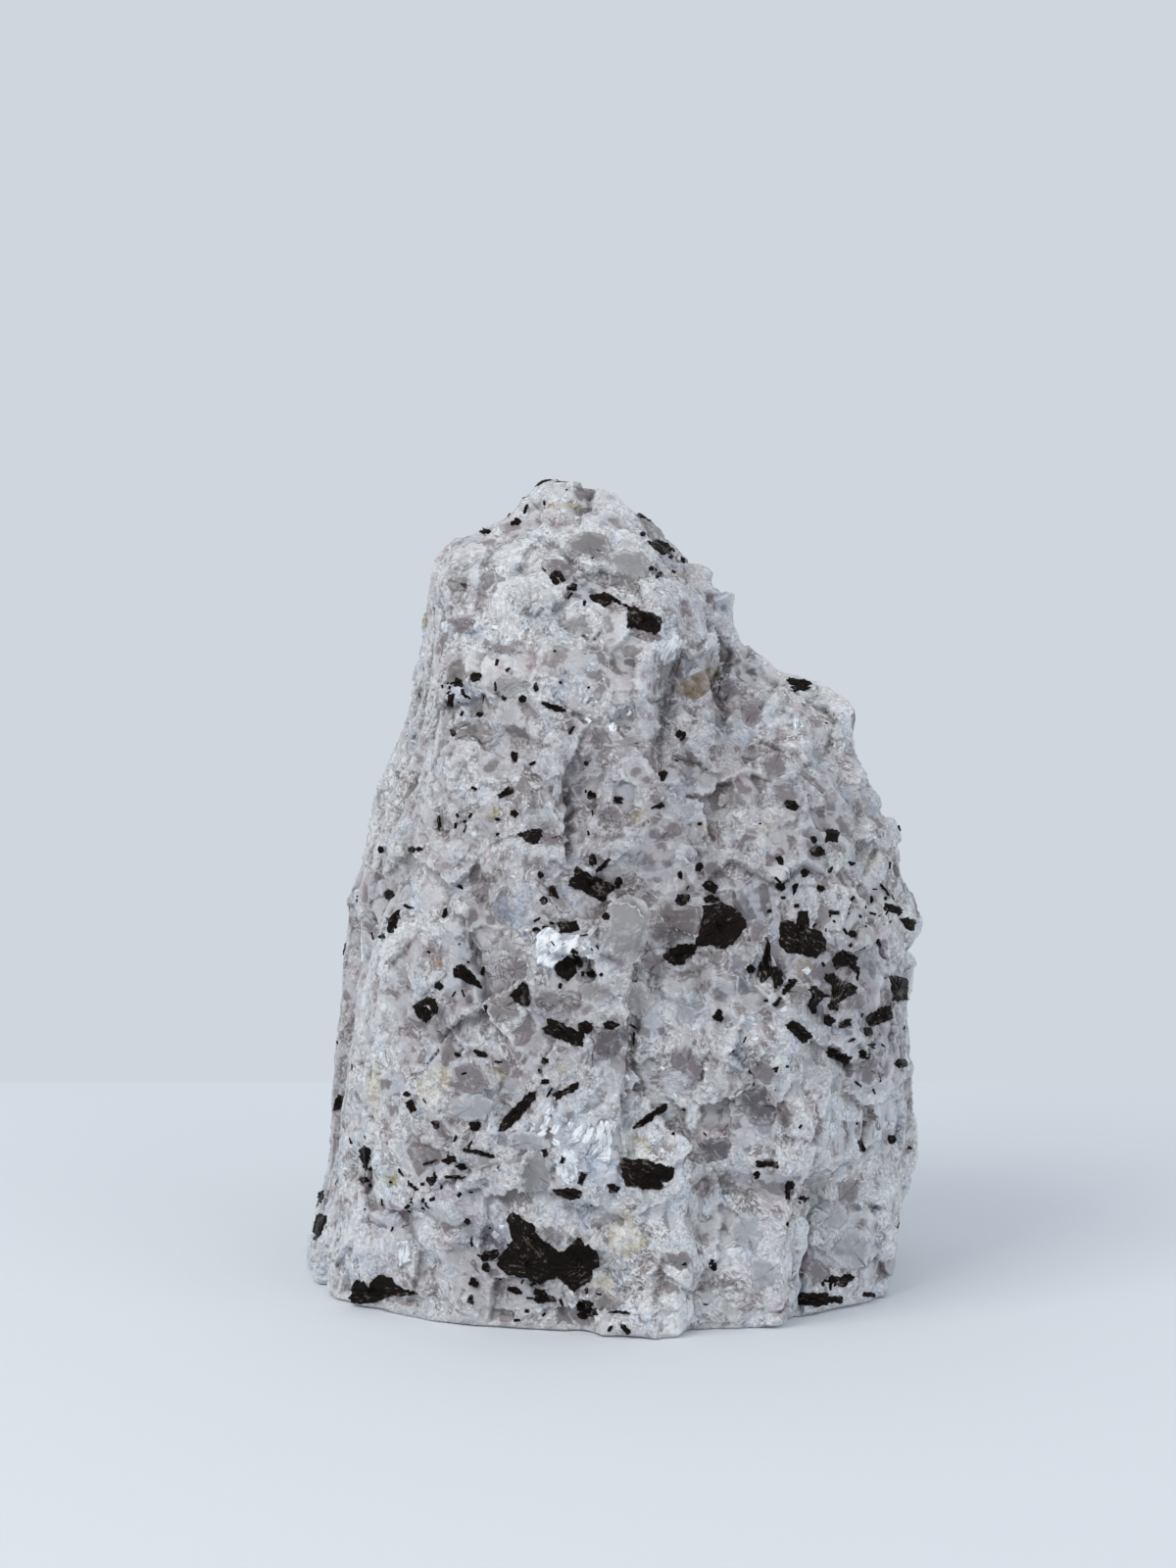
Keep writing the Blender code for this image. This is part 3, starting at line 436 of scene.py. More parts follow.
RAISED_GRAINS = {"high_dome": 0.4, "high_left": 0.3, "lens": 0.2}
NAMED_EDGE_BLUR = 1.5
# A place is hidden where it faces the viewer less than this, and nothing is laid in lower than this
HIDDEN_FACING = -0.08
CLEAR_OF_BASE = 1.5 * MM
# A quartz grain is laid in where the rock faces out of it at least this much and it is this large. The rock
# under a crystal is looked for from this far above it, and this far down.
LAID_GRAIN_FACING = 0.45
LAID_GRAIN_REACH = 1.5 * MM
LOOK_FROM = 4 * MM
LOOK_REACH = 7 * MM
# On the hidden sides, the share of the crystals that lie in clusters, and how far a cluster spreads
CLUSTERED_SHARE = 0.6
CLUSTER_SPREAD = 5 * MM


def linear(hex_text):
    """A colour written as sRGB hex, turned to the linear numbers that a node or property holds."""
    channels = [int(hex_text[i : i + 2], 16) / 255 for i in (1, 3, 5)]
    return (*[c / 12.92 if c <= 0.04045 else ((c + 0.055) / 1.055) ** 2.4 for c in channels], 1.0)


GRAIN_COLOURS = {
    "grey_quartz": "#969091",
    "pale_quartz": "#B0ADAF",
    "clear_quartz": "#C6C7CC",
    "lavender_quartz": "#91878C",
    "purple_quartz": "#70686D",
    "brown_quartz": "#786D6E",
    "dark_quartz": "#676168",
    "cream_feldspar": "#FBF4DF",
    "stained_feldspar": "#D8CCA2",
    "tan_feldspar": "#B09C7E",
    "blue_feldspar": "#F0F4FB",
}
GLASSY = (
    "grey_quartz", "pale_quartz", "clear_quartz", "lavender_quartz", "purple_quartz", "brown_quartz",
    "dark_quartz",
)


def colour_property(name, description, default):
    return FloatVectorProperty(
        name=name, description=description, default=linear(default), size=4, min=0, max=1, subtype="COLOR"
    )


def size_property(name, description, default_mm):
    return FloatProperty(
        name=name, description=description, default=default_mm * MM, min=0, unit="LENGTH", precision=5
    )


class RockSettings(bpy.types.PropertyGroup):
    face_size: size_property("Face size", "Spacing of the mesh before the rock is broken", 0.4)
    triangles: IntProperty(
        name="Triangles", description="Most triangles in the finished rock", default=197000
    )
    grain_size: size_property("Grain size", "Width of an ordinary grain of quartz or feldspar", 3.6)
    grain_relief: size_property("Grain relief", "Height of the steps between grains", 0.16)
    crumb_size: size_property("Crumb size", "Width of the smallest broken grains", 1.5)
    crumb_relief: size_property("Crumb relief", "Height of the steps between the smallest grains", 0.03)
    splinter_relief: size_property(
        "Splinter relief", "Height of the upright splinters on the left side", 0.55
    )
    feldspar: colour_property("Feldspar", "White feldspar, the main colour of the rock", "#D0CDCD")
    milky: colour_property("Milky feldspar", "Duller greyish parts of the feldspar", "#A5A1A1")
    quartz: colour_property("Quartz", "Grey quartz grains", "#8A8384")
    # The white wisps colour also paints the painted highlights on ridges and on glinting flakes.
    wisps: colour_property("White wisps", "White flakes, rims and fractures", "#EAEBEE")
    stain: colour_property("Stain", "Cream stains in the cracks", "#CFC8B2")
    smoke: colour_property("Smoky areas", "What the smokier areas take from the light", "#C3BDC3")
    # Painted shade: this colour darkens the hollows between grains as shade would fall there, not as dirt.
    shade: colour_property("Hollows", "Dirt and depth in the hollows between grains", "#6E6863")


class CrystalSettings(bpy.types.PropertyGroup):
    rise: size_property("Rise", "How far a tourmaline crystal stands out of the broken rock", 0.2)
    sink: size_property("Sink", "How far a tourmaline crystal goes into the rock", 0.9)
    black: colour_property("Black", "Black tourmaline", "#100905")
    bruised: colour_property("Bruised", "Brownish grey specks where the tourmaline is bruised", "#6A615F")
    plate: colour_property("Cleavage face", "Flat white cleavage faces of feldspar", "#F4F6FA")
    speck_size: size_property("Speck size", "Width of the largest tourmaline specks", 0.7)
    speck_density: FloatProperty(
        name="Speck density", description="Specks on a square metre where they are thickest", default=210000
    )


class StageSettings(bpy.types.PropertyGroup):
    floor: colour_property("Floor", "Pale floor under the stone", "#DFE3E8")
    wall: colour_property("Wall", "Pale bluish wall all round, which also lights the stone", "#CFD6DD")
    key_power: FloatProperty(
        name="Key light", description="Power of the large light at the left", default=3.2
    )
    fill_power: FloatProperty(name="Fill light", description="Power of the light at the right", default=1.3)
    sky: FloatProperty(name="Sky", description="Brightness of the light from all round", default=1.0)


def add(tree, kind, inputs=None, **settings):
    """Adds a node with its settings, and sets or links each of its inputs to a value, socket or node."""
    node = tree.nodes.new(kind)
    for name, value in settings.items():
        setattr(node, name, value)
    for key, value in (inputs or {}).items():
        shown = [socket for socket in node.inputs if socket.enabled]
        target = node.inputs[key] if isinstance(key, int) else next(s for s in shown if s.name == key)
        give(tree, target, value)
    return node


def give(tree, target, value):
    """Sets an input to a value, or links it to a socket or to the first output that a node has in use."""
    if isinstance(value, bpy.types.Node):
        value = next(socket for socket in value.outputs if socket.enabled)
    if isinstance(value, bpy.types.NodeSocket):
        tree.links.new(value, target)
    else:
        target.default_value = value


def new_material(name):
    """A new material, its tree and its shader."""
    material = bpy.data.materials.new(name)
    material.use_nodes = True
    return material, material.node_tree, material.node_tree.nodes["Principled BSDF"]


def set_shader(tree, shader, relief, inputs):
    """Sets or links a shader's inputs, and bumps its surface by the relief, a height in metres."""
    bump = add(tree, "ShaderNodeBump", {"Strength": 1.0, "Distance": 1.0, "Height": relief})
    for name, value in {"Normal": bump, **inputs}.items():
        give(tree, shader.inputs[name], value)


def ragged_place(tree, place, size, reach):
    """The place, pushed about by up to the reach, so that what is drawn there gets ragged edges."""
    push = add(
        tree, "ShaderNodeTexNoise",
        {"Vector": place, "Scale": 1 / (size * MM), "Detail": 3.0, "Roughness": 0.6},
    )
    centred = add(
        tree, "ShaderNodeVectorMath", {0: push.outputs["Color"], 1: (0.5, 0.5, 0.5)}, operation="SUBTRACT"
    )
    reach_all = (reach * 2 * MM,) * 3
    return add(tree, "ShaderNodeVectorMath", {0: centred, 1: reach_all, 2: place}, operation="MULTIPLY_ADD")


def cell_facets(tree, place, size, step, slope):
    """Broken facets: each cell of this size has a level and a slope of its own. Heights are in metres."""
    cells = add(tree, "ShaderNodeTexVoronoi", {"Vector": place, "Scale": size}, feature="F1")
    lean = add(
        tree, "ShaderNodeVectorMath", {0: cells.outputs["Color"], 1: (0.5, 0.5, 0.5)}, operation="SUBTRACT"
    )
    offset = add(tree, "ShaderNodeVectorMath", {0: place, 1: cells.outputs["Position"]}, operation="SUBTRACT")
    tilt = add(tree, "ShaderNodeVectorMath", {0: lean, 1: offset}, operation="DOT_PRODUCT")
    tilted = add(tree, "ShaderNodeMath", {0: tilt.outputs["Value"], 1: slope}, operation="MULTIPLY")
    level = add(tree, "ShaderNodeSeparateXYZ", {0: lean})
    height = add(
        tree, "ShaderNodeMath", {0: level.outputs["X"], 1: step, 2: tilted}, operation="MULTIPLY_ADD"
    )
    return height, cells


def new_tree(name, sizes, with_material=False):
    """A geometry tree with a mesh input, a named input for each size, and a mesh output."""
    tree = bpy.data.node_groups.new(name, "GeometryNodeTree")
    tree.interface.new_socket("Mesh", in_out="INPUT", socket_type="NodeSocketGeometry")
    tree.interface.new_socket("Mesh", in_out="OUTPUT", socket_type="NodeSocketGeometry")
    for size in sizes:
        tree.interface.new_socket(size, in_out="INPUT", socket_type="NodeSocketFloat")
    if with_material:
        tree.interface.new_socket("Material", in_out="INPUT", socket_type="NodeSocketMaterial")
    return tree, tree.nodes.new("NodeGroupInput").outputs


def finished_by(obj, tree, values):
    """The mesh that a geometry tree makes of an object, as a plain mesh."""
    modifier = obj.modifiers.new(tree.name, "NODES")
    modifier.node_group = tree
    for item in tree.interface.items_tree:
        if item.item_type == "SOCKET" and item.in_out == "INPUT" and item.name in values:
            modifier[item.identifier] = values[item.name]
    return evaluated_mesh(obj)


def evaluated_mesh(obj):
    """The object's mesh with its modifiers applied, and the modifiers taken off."""
    bpy.context.view_layer.update()
    graph = bpy.context.evaluated_depsgraph_get()
    mesh = bpy.data.meshes.new_from_object(obj.evaluated_get(graph))
    obj.modifiers.clear()
    return mesh


def new_object(name, mesh):
    obj = bpy.data.objects.new(name, mesh)
    bpy.context.scene.collection.objects.link(obj)
    return obj


def smooth_step(tree, value, low, high):
    """0 below the low limit, 1 above the high one, and an easy rise between."""
    limits = {"Value": value, "From Min": low, "From Max": high}
    return add(tree, "ShaderNodeMapRange", limits, interpolation_type="SMOOTHSTEP")


def broken_rock_tree():
    """Breaks a smooth block's surface grain by grain, and its left side into upright splinters."""
    sizes = ("Grain Size", "Grain Relief", "Crumb Size", "Crumb Relief", "Splinter Relief")
    tree, given = new_tree("broken_rock", sizes)
    softened = add(
        tree, "GeometryNodeBlurAttribute", {"Value": add(tree, "GeometryNodeInputPosition"), "Iterations": 3},
        data_type="FLOAT_VECTOR",
    )
    start = add(tree, "GeometryNodeInputPosition")
    around = add(
        tree, "GeometryNodeBlurAttribute", {"Value": start, "Iterations": 40}, data_type="FLOAT_VECTOR"
    )
    stands_out = add(tree, "ShaderNodeVectorMath", {0: softened, 1: around}, operation="DISTANCE")
    thin_edge = smooth_step(tree, stands_out.outputs["Value"], 0.9 * MM, 1.4 * MM)
    worn = add(tree, "ShaderNodeMix", {"Factor": thin_edge, "A": softened, "B": around}, data_type="VECTOR")
    block = add(tree, "GeometryNodeSetPosition", {"Geometry": given["Mesh"], "Position": worn})
    place = add(tree, "GeometryNodeInputPosition").outputs[0]
    normal = add(tree, "GeometryNodeInputNormal").outputs[0]

    ragged = ragged_place(tree, ragged_place(tree, place, 6, 1.5), 1.3, 0.3)
    per_grain = add(tree, "ShaderNodeMath", {0: 1.0, 1: given["Grain Size"]}, operation="DIVIDE")
    per_crumb = add(tree, "ShaderNodeMath", {0: 1.0, 1: given["Crumb Size"]}, operation="DIVIDE")
    grains, _ = cell_facets(tree, ragged, per_grain, given["Grain Relief"], 0.17)
    crumbs, _ = cell_facets(tree, ragged, per_crumb, given["Crumb Relief"], 0.12)
    chips, _ = cell_facets(tree, ragged, 1 / (9 * MM), 0.1 * MM, 0.2)
    swell = add(
        tree, "ShaderNodeTexNoise", {"Vector": place, "Scale": 1 / (8 * MM), "Detail": 5.0, "Roughness": 0.5}
    )
    swell_height = add(
        tree, "ShaderNodeMath", {0: swell.outputs[0], 1: 0.8 * MM, 2: -0.4 * MM}, operation="MULTIPLY_ADD"
    )
    both = add(tree, "ShaderNodeMath", {0: grains, 1: crumbs}, operation="ADD")
    three = add(tree, "ShaderNodeMath", {0: both, 1: chips}, operation="ADD")
    broken = add(tree, "ShaderNodeMath", {0: three, 1: swell_height}, operation="ADD")

    drawn_out = add(
        tree, "ShaderNodeVectorMath", {0: ragged, 1: (1 / 6, 1 / 1.6, 1 / 15)}, operation="MULTIPLY"
    )
    splinters, _ = cell_facets(tree, drawn_out, 1 / MM, given["Splinter Relief"], 0.3)
    some_broken = add(tree, "ShaderNodeMath", {0: broken, 1: 0.45, 2: splinters}, operation="MULTIPLY_ADD")
    to_left = add(tree, "ShaderNodeVectorMath", {0: normal, 1: (-1, 0, 0)}, operation="DOT_PRODUCT")
    on_left = smooth_step(tree, to_left.outputs["Value"], 0.55, 0.85)
    height = add(tree, "ShaderNodeMix", {"Factor": on_left, "A": broken, "B": some_broken}, data_type="FLOAT")

    up = add(tree, "ShaderNodeSeparateXYZ", {0: place}).outputs["Z"]
    clear_of_base = smooth_step(tree, up, 0.1 * MM, 1.6 * MM)
    held = add(tree, "ShaderNodeMath", {0: height, 1: clear_of_base}, operation="MULTIPLY")
    offset = add(tree, "ShaderNodeVectorMath", {0: normal, "Scale": held}, operation="SCALE")
    moved = add(tree, "GeometryNodeSetPosition", {"Geometry": block, "Offset": offset})
    now = add(tree, "ShaderNodeSeparateXYZ", {0: add(tree, "GeometryNodeInputPosition")})
    above = add(tree, "ShaderNodeMath", {0: now.outputs["Z"], 1: 0.0}, operation="MAXIMUM")
    standing = add(
        tree, "ShaderNodeCombineXYZ", {"X": now.outputs["X"], "Y": now.outputs["Y"], "Z": above}
    )
    done = add(tree, "GeometryNodeSetPosition", {"Geometry": moved, "Position": standing})
    add(tree, "NodeGroupOutput", {"Mesh": done})
    return tree


def hollows_tree():
    """Marks each place of the rock by how far it lies below (more than 0) or above the rock around it."""
    tree, given = new_tree("mark_hollows", ())
    geometry = given["Mesh"]
    place = add(tree, "GeometryNodeInputPosition").outputs[0]
    normal = add(tree, "GeometryNodeInputNormal").outputs[0]
    for name, spread, depth in (("hollow", 4, 0.08), ("wide_hollow", 40, 0.4)):
        around = add(
            tree, "GeometryNodeBlurAttribute", {"Value": place, "Iterations": spread},
            data_type="FLOAT_VECTOR",
        )
        rise = add(tree, "ShaderNodeVectorMath", {0: around, 1: place}, operation="SUBTRACT")
        sunk = add(tree, "ShaderNodeVectorMath", {0: rise, 1: normal}, operation="DOT_PRODUCT")
        share = add(
            tree, "ShaderNodeMath", {0: sunk.outputs["Value"], 1: 1 / (depth * MM)}, operation="MULTIPLY"
        )
        geometry = add(
            tree, "GeometryNodeStoreNamedAttribute", {"Geometry": geometry, "Name": name, "Value": share},
            data_type="FLOAT", domain="POINT",
        )
    add(tree, "NodeGroupOutput", {"Mesh": geometry})
    return tree


def mixed(tree, factor, first, second, blend="MIX"):
    """The first colour turned into the second by the factor."""
    return add(
        tree, "ShaderNodeMix", {"Factor": factor, "A": first, "B": second}, data_type="RGBA", blend_type=blend
    )


def weighted_sum(tree, terms):
    """The sum of some values, each times its weight."""
    total = 0.0
    for value, weight in terms:
        total = add(tree, "ShaderNodeMath", {0: value, 1: weight, 2: total}, operation="MULTIPLY_ADD")
    return total


def pegmatite_material(settings):
    """White quartz and feldspar rock, broken by hand and left rough.

    To the eye it is sugary: bluish white feldspar split into fine bright flakes that lie another way in each
    grain, grey glassy quartz in grains of 2 to 5 mm with crisp edges, small flat faces that glint, and cream
    stains. Its colour also holds painted highlights on glinting flakes and ridges, and painted shade in
    hollows.
    """
    material, tree, shader = new_material("broken_pegmatite")
    place = add(tree, "ShaderNodeTexCoord").outputs["Object"]
    per_grain = 1 / settings.grain_size

    ragged = ragged_place(tree, ragged_place(tree, place, 6, 1.5), 1.3, 0.3)
    torn = ragged_place(tree, ragged, 0.5, 0.12)
    _, grains = cell_facets(tree, torn, per_grain, 0.0, 0.0)
    crumbs_height, crumbs = cell_facets(tree, torn, 1 / settings.crumb_size, 0.02 * MM, 0.25)
    grain_value = add(tree, "ShaderNodeSeparateColor", {0: grains.outputs["Color"]})
    crumb_value = add(tree, "ShaderNodeSeparateColor", {0: crumbs.outputs["Color"]})
    lie = add(tree, "ShaderNodeMath", {0: crumb_value.outputs["Blue"], 1: 6.28}, operation="MULTIPLY")
    turned_place = add(
        tree, "ShaderNodeVectorRotate", {"Vector": torn, "Axis": grains.outputs["Color"], "Angle": lie}
    )
    drawn_out = add(tree, "ShaderNodeVectorMath", {0: turned_place, 1: (0.4, 1.0, 1.0)}, operation="MULTIPLY")
    flake_height, flakes = cell_facets(tree, drawn_out, 1 / (0.42 * MM), 0.02 * MM, 0.8)
    sugar_height, sugar = cell_facets(tree, torn, 1 / (0.22 * MM), 0.008 * MM, 0.8)
    flake_value = add(tree, "ShaderNodeSeparateColor", {0: flakes.outputs["Color"]})
    sugar_value = add(tree, "ShaderNodeSeparateColor", {0: sugar.outputs["Color"]})

    clouds = add(
        tree, "ShaderNodeTexNoise", {"Vector": place, "Scale": 1 / (5 * MM), "Detail": 8.0, "Roughness": 0.68}
    )
    broad = add(
        tree, "ShaderNodeTexNoise", {"Vector": place, "Scale": 1 / (16 * MM), "Detail": 3.0, "Roughness": 0.6}
    )
    wisp_noise = add(
        tree, "ShaderNodeTexNoise",
        {
            "Vector": ragged, "Scale": 1 / (3 * MM), "Detail": 6.0, "Roughness": 0.6, "Offset": 0.9,
            "Gain": 1.6,
        },
        noise_type="RIDGED_MULTIFRACTAL",
    )
    smoky = add(tree, "ShaderNodeAttribute", attribute_name="smoky").outputs["Fac"]

    tone = weighted_sum(tree, (
        (clouds.outputs[0], 0.9), (broad.outputs[0], 0.7), (grain_value.outputs["Green"], 0.26),
        (crumb_value.outputs["Green"], 0.1), (flake_value.outputs["Red"], 0.5),
        (sugar_value.outputs["Red"], 0.56), (smoky, -0.36), (1.0, -0.2),
    ))
    lighter = mixed(tree, smooth_step(tree, tone, 0.86, 1.22), tuple(settings.quartz), tuple(settings.milky))
    light = mixed(tree, smooth_step(tree, tone, 1.08, 1.46), lighter, tuple(settings.feldspar))
    # Painted highlight: about a tenth of the flake cells glint, and besides their low roughness they are
    # painted near white in the colour. The whitest tone gives real white flakes and partly painted glints
    # too.
    glint = add(tree, "ShaderNodeMath", {0: flake_value.outputs["Green"], 1: 0.1}, operation="LESS_THAN")
    painted_glint_amount = add(tree, "ShaderNodeMath", {0: glint, 1: 0.6}, operation="MULTIPLY")
    whiter = smooth_step(tree, tone, 1.34, 1.58)
    flake_and_painted_glint_amount = add(tree, "ShaderNodeMath", {0: whiter, 1: painted_glint_amount}, operation="MAXIMUM")
    flakes_and_painted_glints = mixed(tree, flake_and_painted_glint_amount, light, tuple(settings.wisps))

    rare = smooth_step(tree, broad.outputs[0], 0.62, 0.38)
    share = weighted_sum(tree, ((rare, 0.17), (smoky, 0.28), (1.0, 0.1)))
    grain_is_quartz = add(
        tree, "ShaderNodeMath", {0: grain_value.outputs["Red"], 1: share}, operation="LESS_THAN"
    )
    crumb_is_quartz = add(
        tree, "ShaderNodeMath", {0: crumb_value.outputs["Red"], 1: 0.06}, operation="LESS_THAN"
    )
    cell_quartz = add(tree, "ShaderNodeMath", {0: grain_is_quartz, 1: crumb_is_quartz}, operation="MAXIMUM")
    quartz_shade = add(
        tree, "ShaderNodeMapRange", {"Value": grain_value.outputs["Blue"], "To Min": 0.8, "To Max": 1.2}
    )
    quartz_colour = add(
        tree, "ShaderNodeVectorMath", {0: tuple(settings.quartz[:3]), "Scale": quartz_shade},
        operation="SCALE",
    )
    veil = smooth_step(tree, clouds.outputs[0], 0.46, 0.72)
    veil_amount = add(tree, "ShaderNodeMath", {0: veil, 1: 0.5}, operation="MULTIPLY")
    veiled = mixed(tree, veil_amount, quartz_colour, flakes_and_painted_glints)
    natural = mixed(tree, cell_quartz, flakes_and_painted_glints, veiled)

    named_depth = add(tree, "ShaderNodeAttribute", attribute_name="named_depth").outputs["Fac"]
    named_tint = add(tree, "ShaderNodeAttribute", attribute_name="named_tint")
    ragged_depth = weighted_sum(tree, ((clouds.outputs[0], 0.4), (named_depth, 1.0)))
    in_named = smooth_step(tree, ragged_depth, 0.66, 0.72)
    fleck = weighted_sum(tree, ((clouds.outputs[0], 0.4), (flake_value.outputs["Red"], 0.14), (1.0, 0.73)))
    glassy_colour = add(
        tree, "ShaderNodeVectorMath", {0: named_tint.outputs["Color"], "Scale": fleck}, operation="SCALE"
    )
    cleaner = mixed(tree, 0.5, flakes_and_painted_glints, tuple(settings.feldspar))
    tinted = mixed(tree, 1.0, cleaner, named_tint.outputs["Color"], "MULTIPLY")
    named_colour = mixed(tree, named_tint.outputs["Alpha"], tinted, glassy_colour)
    with_named = mixed(tree, in_named, natural, named_colour)
    named_glassy = add(
        tree, "ShaderNodeMath", {0: in_named, 1: named_tint.outputs["Alpha"]}, operation="MULTIPLY"
    )
    not_named = add(tree, "ShaderNodeMath", {0: 1.0, 1: in_named}, operation="SUBTRACT")
    natural_glassy = add(tree, "ShaderNodeMath", {0: cell_quartz, 1: not_named}, operation="MULTIPLY")
    glassy = add(tree, "ShaderNodeMath", {0: named_glassy, 1: natural_glassy}, operation="ADD")

    rims = add(tree, "ShaderNodeTexVoronoi", {"Vector": torn, "Scale": per_grain}, feature="DISTANCE_TO_EDGE")
    near_rim = smooth_step(tree, rims.outputs["Distance"], 0.05, 0.01)
    rim_weight = weighted_sum(tree, ((natural_glassy, 0.4), (1.0, 0.12)))
    rim_amount = add(tree, "ShaderNodeMath", {0: near_rim, 1: rim_weight}, operation="MULTIPLY")
    wisp = smooth_step(tree, wisp_noise.outputs[0], 0.6, 0.95)
    named_feldspar = add(tree, "ShaderNodeMath", {0: in_named, 1: named_glassy}, operation="SUBTRACT")
    dark = smooth_step(tree, named_tint.outputs["Fac"], 0.5, 0.35)
    dark_feldspar = add(tree, "ShaderNodeMath", {0: named_feldspar, 1: dark}, operation="MULTIPLY")
    wisp_share = weighted_sum(tree, ((dark_feldspar, -0.5), (1.0, 0.5)))
    wisp_amount = add(tree, "ShaderNodeMath", {0: wisp, 1: wisp_share}, operation="MULTIPLY")
    white_amount = add(tree, "ShaderNodeMath", {0: wisp_amount, 1: rim_amount}, operation="MAXIMUM")
    whitened = mixed(tree, white_amount, with_named, tuple(settings.wisps))

    stain_place = add(
        tree, "ShaderNodeTexNoise",
        {"Vector": place, "Scale": 1 / (9 * MM), "Detail": 5.0, "Roughness": 0.7, "Distortion": 0.6},
    )
    stained = smooth_step(tree, stain_place.outputs[0], 0.6, 0.74)
    stain_amount = add(tree, "ShaderNodeMath", {0: stained, 1: 0.45}, operation="MULTIPLY")
    stained_rock = mixed(tree, stain_amount, whitened, tuple(settings.stain), "MULTIPLY")
    hue = add(
        tree, "ShaderNodeTexNoise",
        {"Vector": ragged, "Scale": 1 / (4 * MM), "Detail": 6.0, "Roughness": 0.65},
    )
    bluish = smooth_step(tree, hue.outputs[0], 0.52, 0.66)
    mauve = smooth_step(tree, hue.outputs[0], 0.47, 0.34)
    with_blue = mixed(tree, bluish, stained_rock, linear("#E8F0FB"), "MULTIPLY")
    tinged = mixed(tree, mauve, with_blue, linear("#F1E7E9"), "MULTIPLY")
    hollow = add(tree, "ShaderNodeAttribute", attribute_name="hollow").outputs["Fac"]
    wide_hollow = add(tree, "ShaderNodeAttribute", attribute_name="wide_hollow").outputs["Fac"]
    sunk = weighted_sum(tree, ((hollow, 0.7), (wide_hollow, 0.5)))
    in_hollow = smooth_step(tree, sunk, 0.2, 2.4)
    on_ridge = smooth_step(tree, sunk, -0.3, -1.8)
    painted_ridge_highlight_amount = add(tree, "ShaderNodeMath", {0: on_ridge, 1: 0.3}, operation="MULTIPLY")
    painted_hollow_shade_amount = add(tree, "ShaderNodeMath", {0: in_hollow, 1: 0.45}, operation="MULTIPLY")
    smoky_amount = add(tree, "ShaderNodeMath", {0: smoky, 1: 0.65}, operation="MULTIPLY")
    smoked = mixed(tree, smoky_amount, tinged, tuple(settings.smoke), "MULTIPLY")
    # Painted highlight: the ridges are whitened as if lit, and the colour called worn holds this painted
    # highlight, not wear.
    worn = mixed(tree, painted_ridge_highlight_amount, smoked, tuple(settings.wisps))
    # Painted shade: the hollows between grains are darkened by the hollows colour, as if in shade.
    colour = mixed(tree, painted_hollow_shade_amount, worn, tuple(settings.shade), "MULTIPLY")

    dull = add(tree, "ShaderNodeMapRange", {"Value": clouds.outputs[0], "To Min": 0.62, "To Max": 0.42})
    glass_rough = add(tree, "ShaderNodeMix", {"Factor": glassy, "A": dull, "B": 0.28}, data_type="FLOAT")
    rough = add(tree, "ShaderNodeMix", {"Factor": glint, "A": glass_rough, "B": 0.14}, data_type="FLOAT")

    flatter = add(tree, "ShaderNodeMapRange", {"Value": glassy, "To Min": 1.0, "To Max": 0.3})
    grit = add(
        tree, "ShaderNodeTexNoise",
        {"Vector": place, "Scale": 1 / (0.9 * MM), "Detail": 6.0, "Roughness": 0.7},
    )
    heights = ((grit.outputs[0], 0.06 * MM), (crumbs_height, 1.0), (flake_height, 1.0), (sugar_height, 1.0))
    gritty = weighted_sum(tree, heights)
    relief = add(tree, "ShaderNodeMath", {0: gritty, 1: flatter}, operation="MULTIPLY")
    set_shader(tree, shader, relief, {"Base Color": colour, "Roughness": rough, "IOR": 1.54})
    return material


def tourmaline_material(settings):
    """Black tourmaline, broken across flush with the rock.

    To the eye it is nearly black and a little glossy, with fine grooves along each crystal and brownish grey
    specks where the break has bruised it.
    """
    material, tree, shader = new_material("broken_black_tourmaline")
    along = add(tree, "ShaderNodeAttribute", attribute_name="along").outputs["Vector"]
    place = add(tree, "ShaderNodeTexCoord").outputs["Object"]
    laid = add(tree, "ShaderNodeVectorMath", {0: along, 1: (0.45, 1.0, 1.0)}, operation="MULTIPLY")
    bruises = add(
        tree, "ShaderNodeTexNoise", {"Vector": laid, "Scale": 3.2, "Detail": 5.0, "Roughness": 0.75}
    )
    patchy = add(tree, "ShaderNodeTexNoise", {"Vector": place, "Scale": 1 / (2.2 * MM), "Detail": 2.0})
    both = add(
        tree, "ShaderNodeMath", {0: patchy.outputs[0], 1: 0.5, 2: bruises.outputs[0]},
        operation="MULTIPLY_ADD",
    )
    bruised = smooth_step(tree, both, 0.82, 0.93)
    colour = mixed(tree, bruised, tuple(settings.black), tuple(settings.bruised))
    stretched = add(tree, "ShaderNodeVectorMath", {0: along, 1: (0.4, 5.0, 1.0)}, operation="MULTIPLY")
    grooves = add(
        tree, "ShaderNodeTexNoise", {"Vector": stretched, "Scale": 1.0, "Detail": 3.0, "Roughness": 0.6}
    )
    groove_height = add(tree, "ShaderNodeMath", {0: grooves.outputs[0], 1: 0.1 * MM}, operation="MULTIPLY")
    relief = add(
        tree, "ShaderNodeMath", {0: bruises.outputs[0], 1: 0.12 * MM, 2: groove_height},
        operation="MULTIPLY_ADD",
    )
    rough = add(tree, "ShaderNodeMapRange", {"Value": bruised, "To Min": 0.42, "To Max": 0.7})
    finish = {"Base Color": colour, "Roughness": rough, "IOR": 1.62, "Specular IOR Level": 0.07}
    set_shader(tree, shader, relief, finish)
    return material


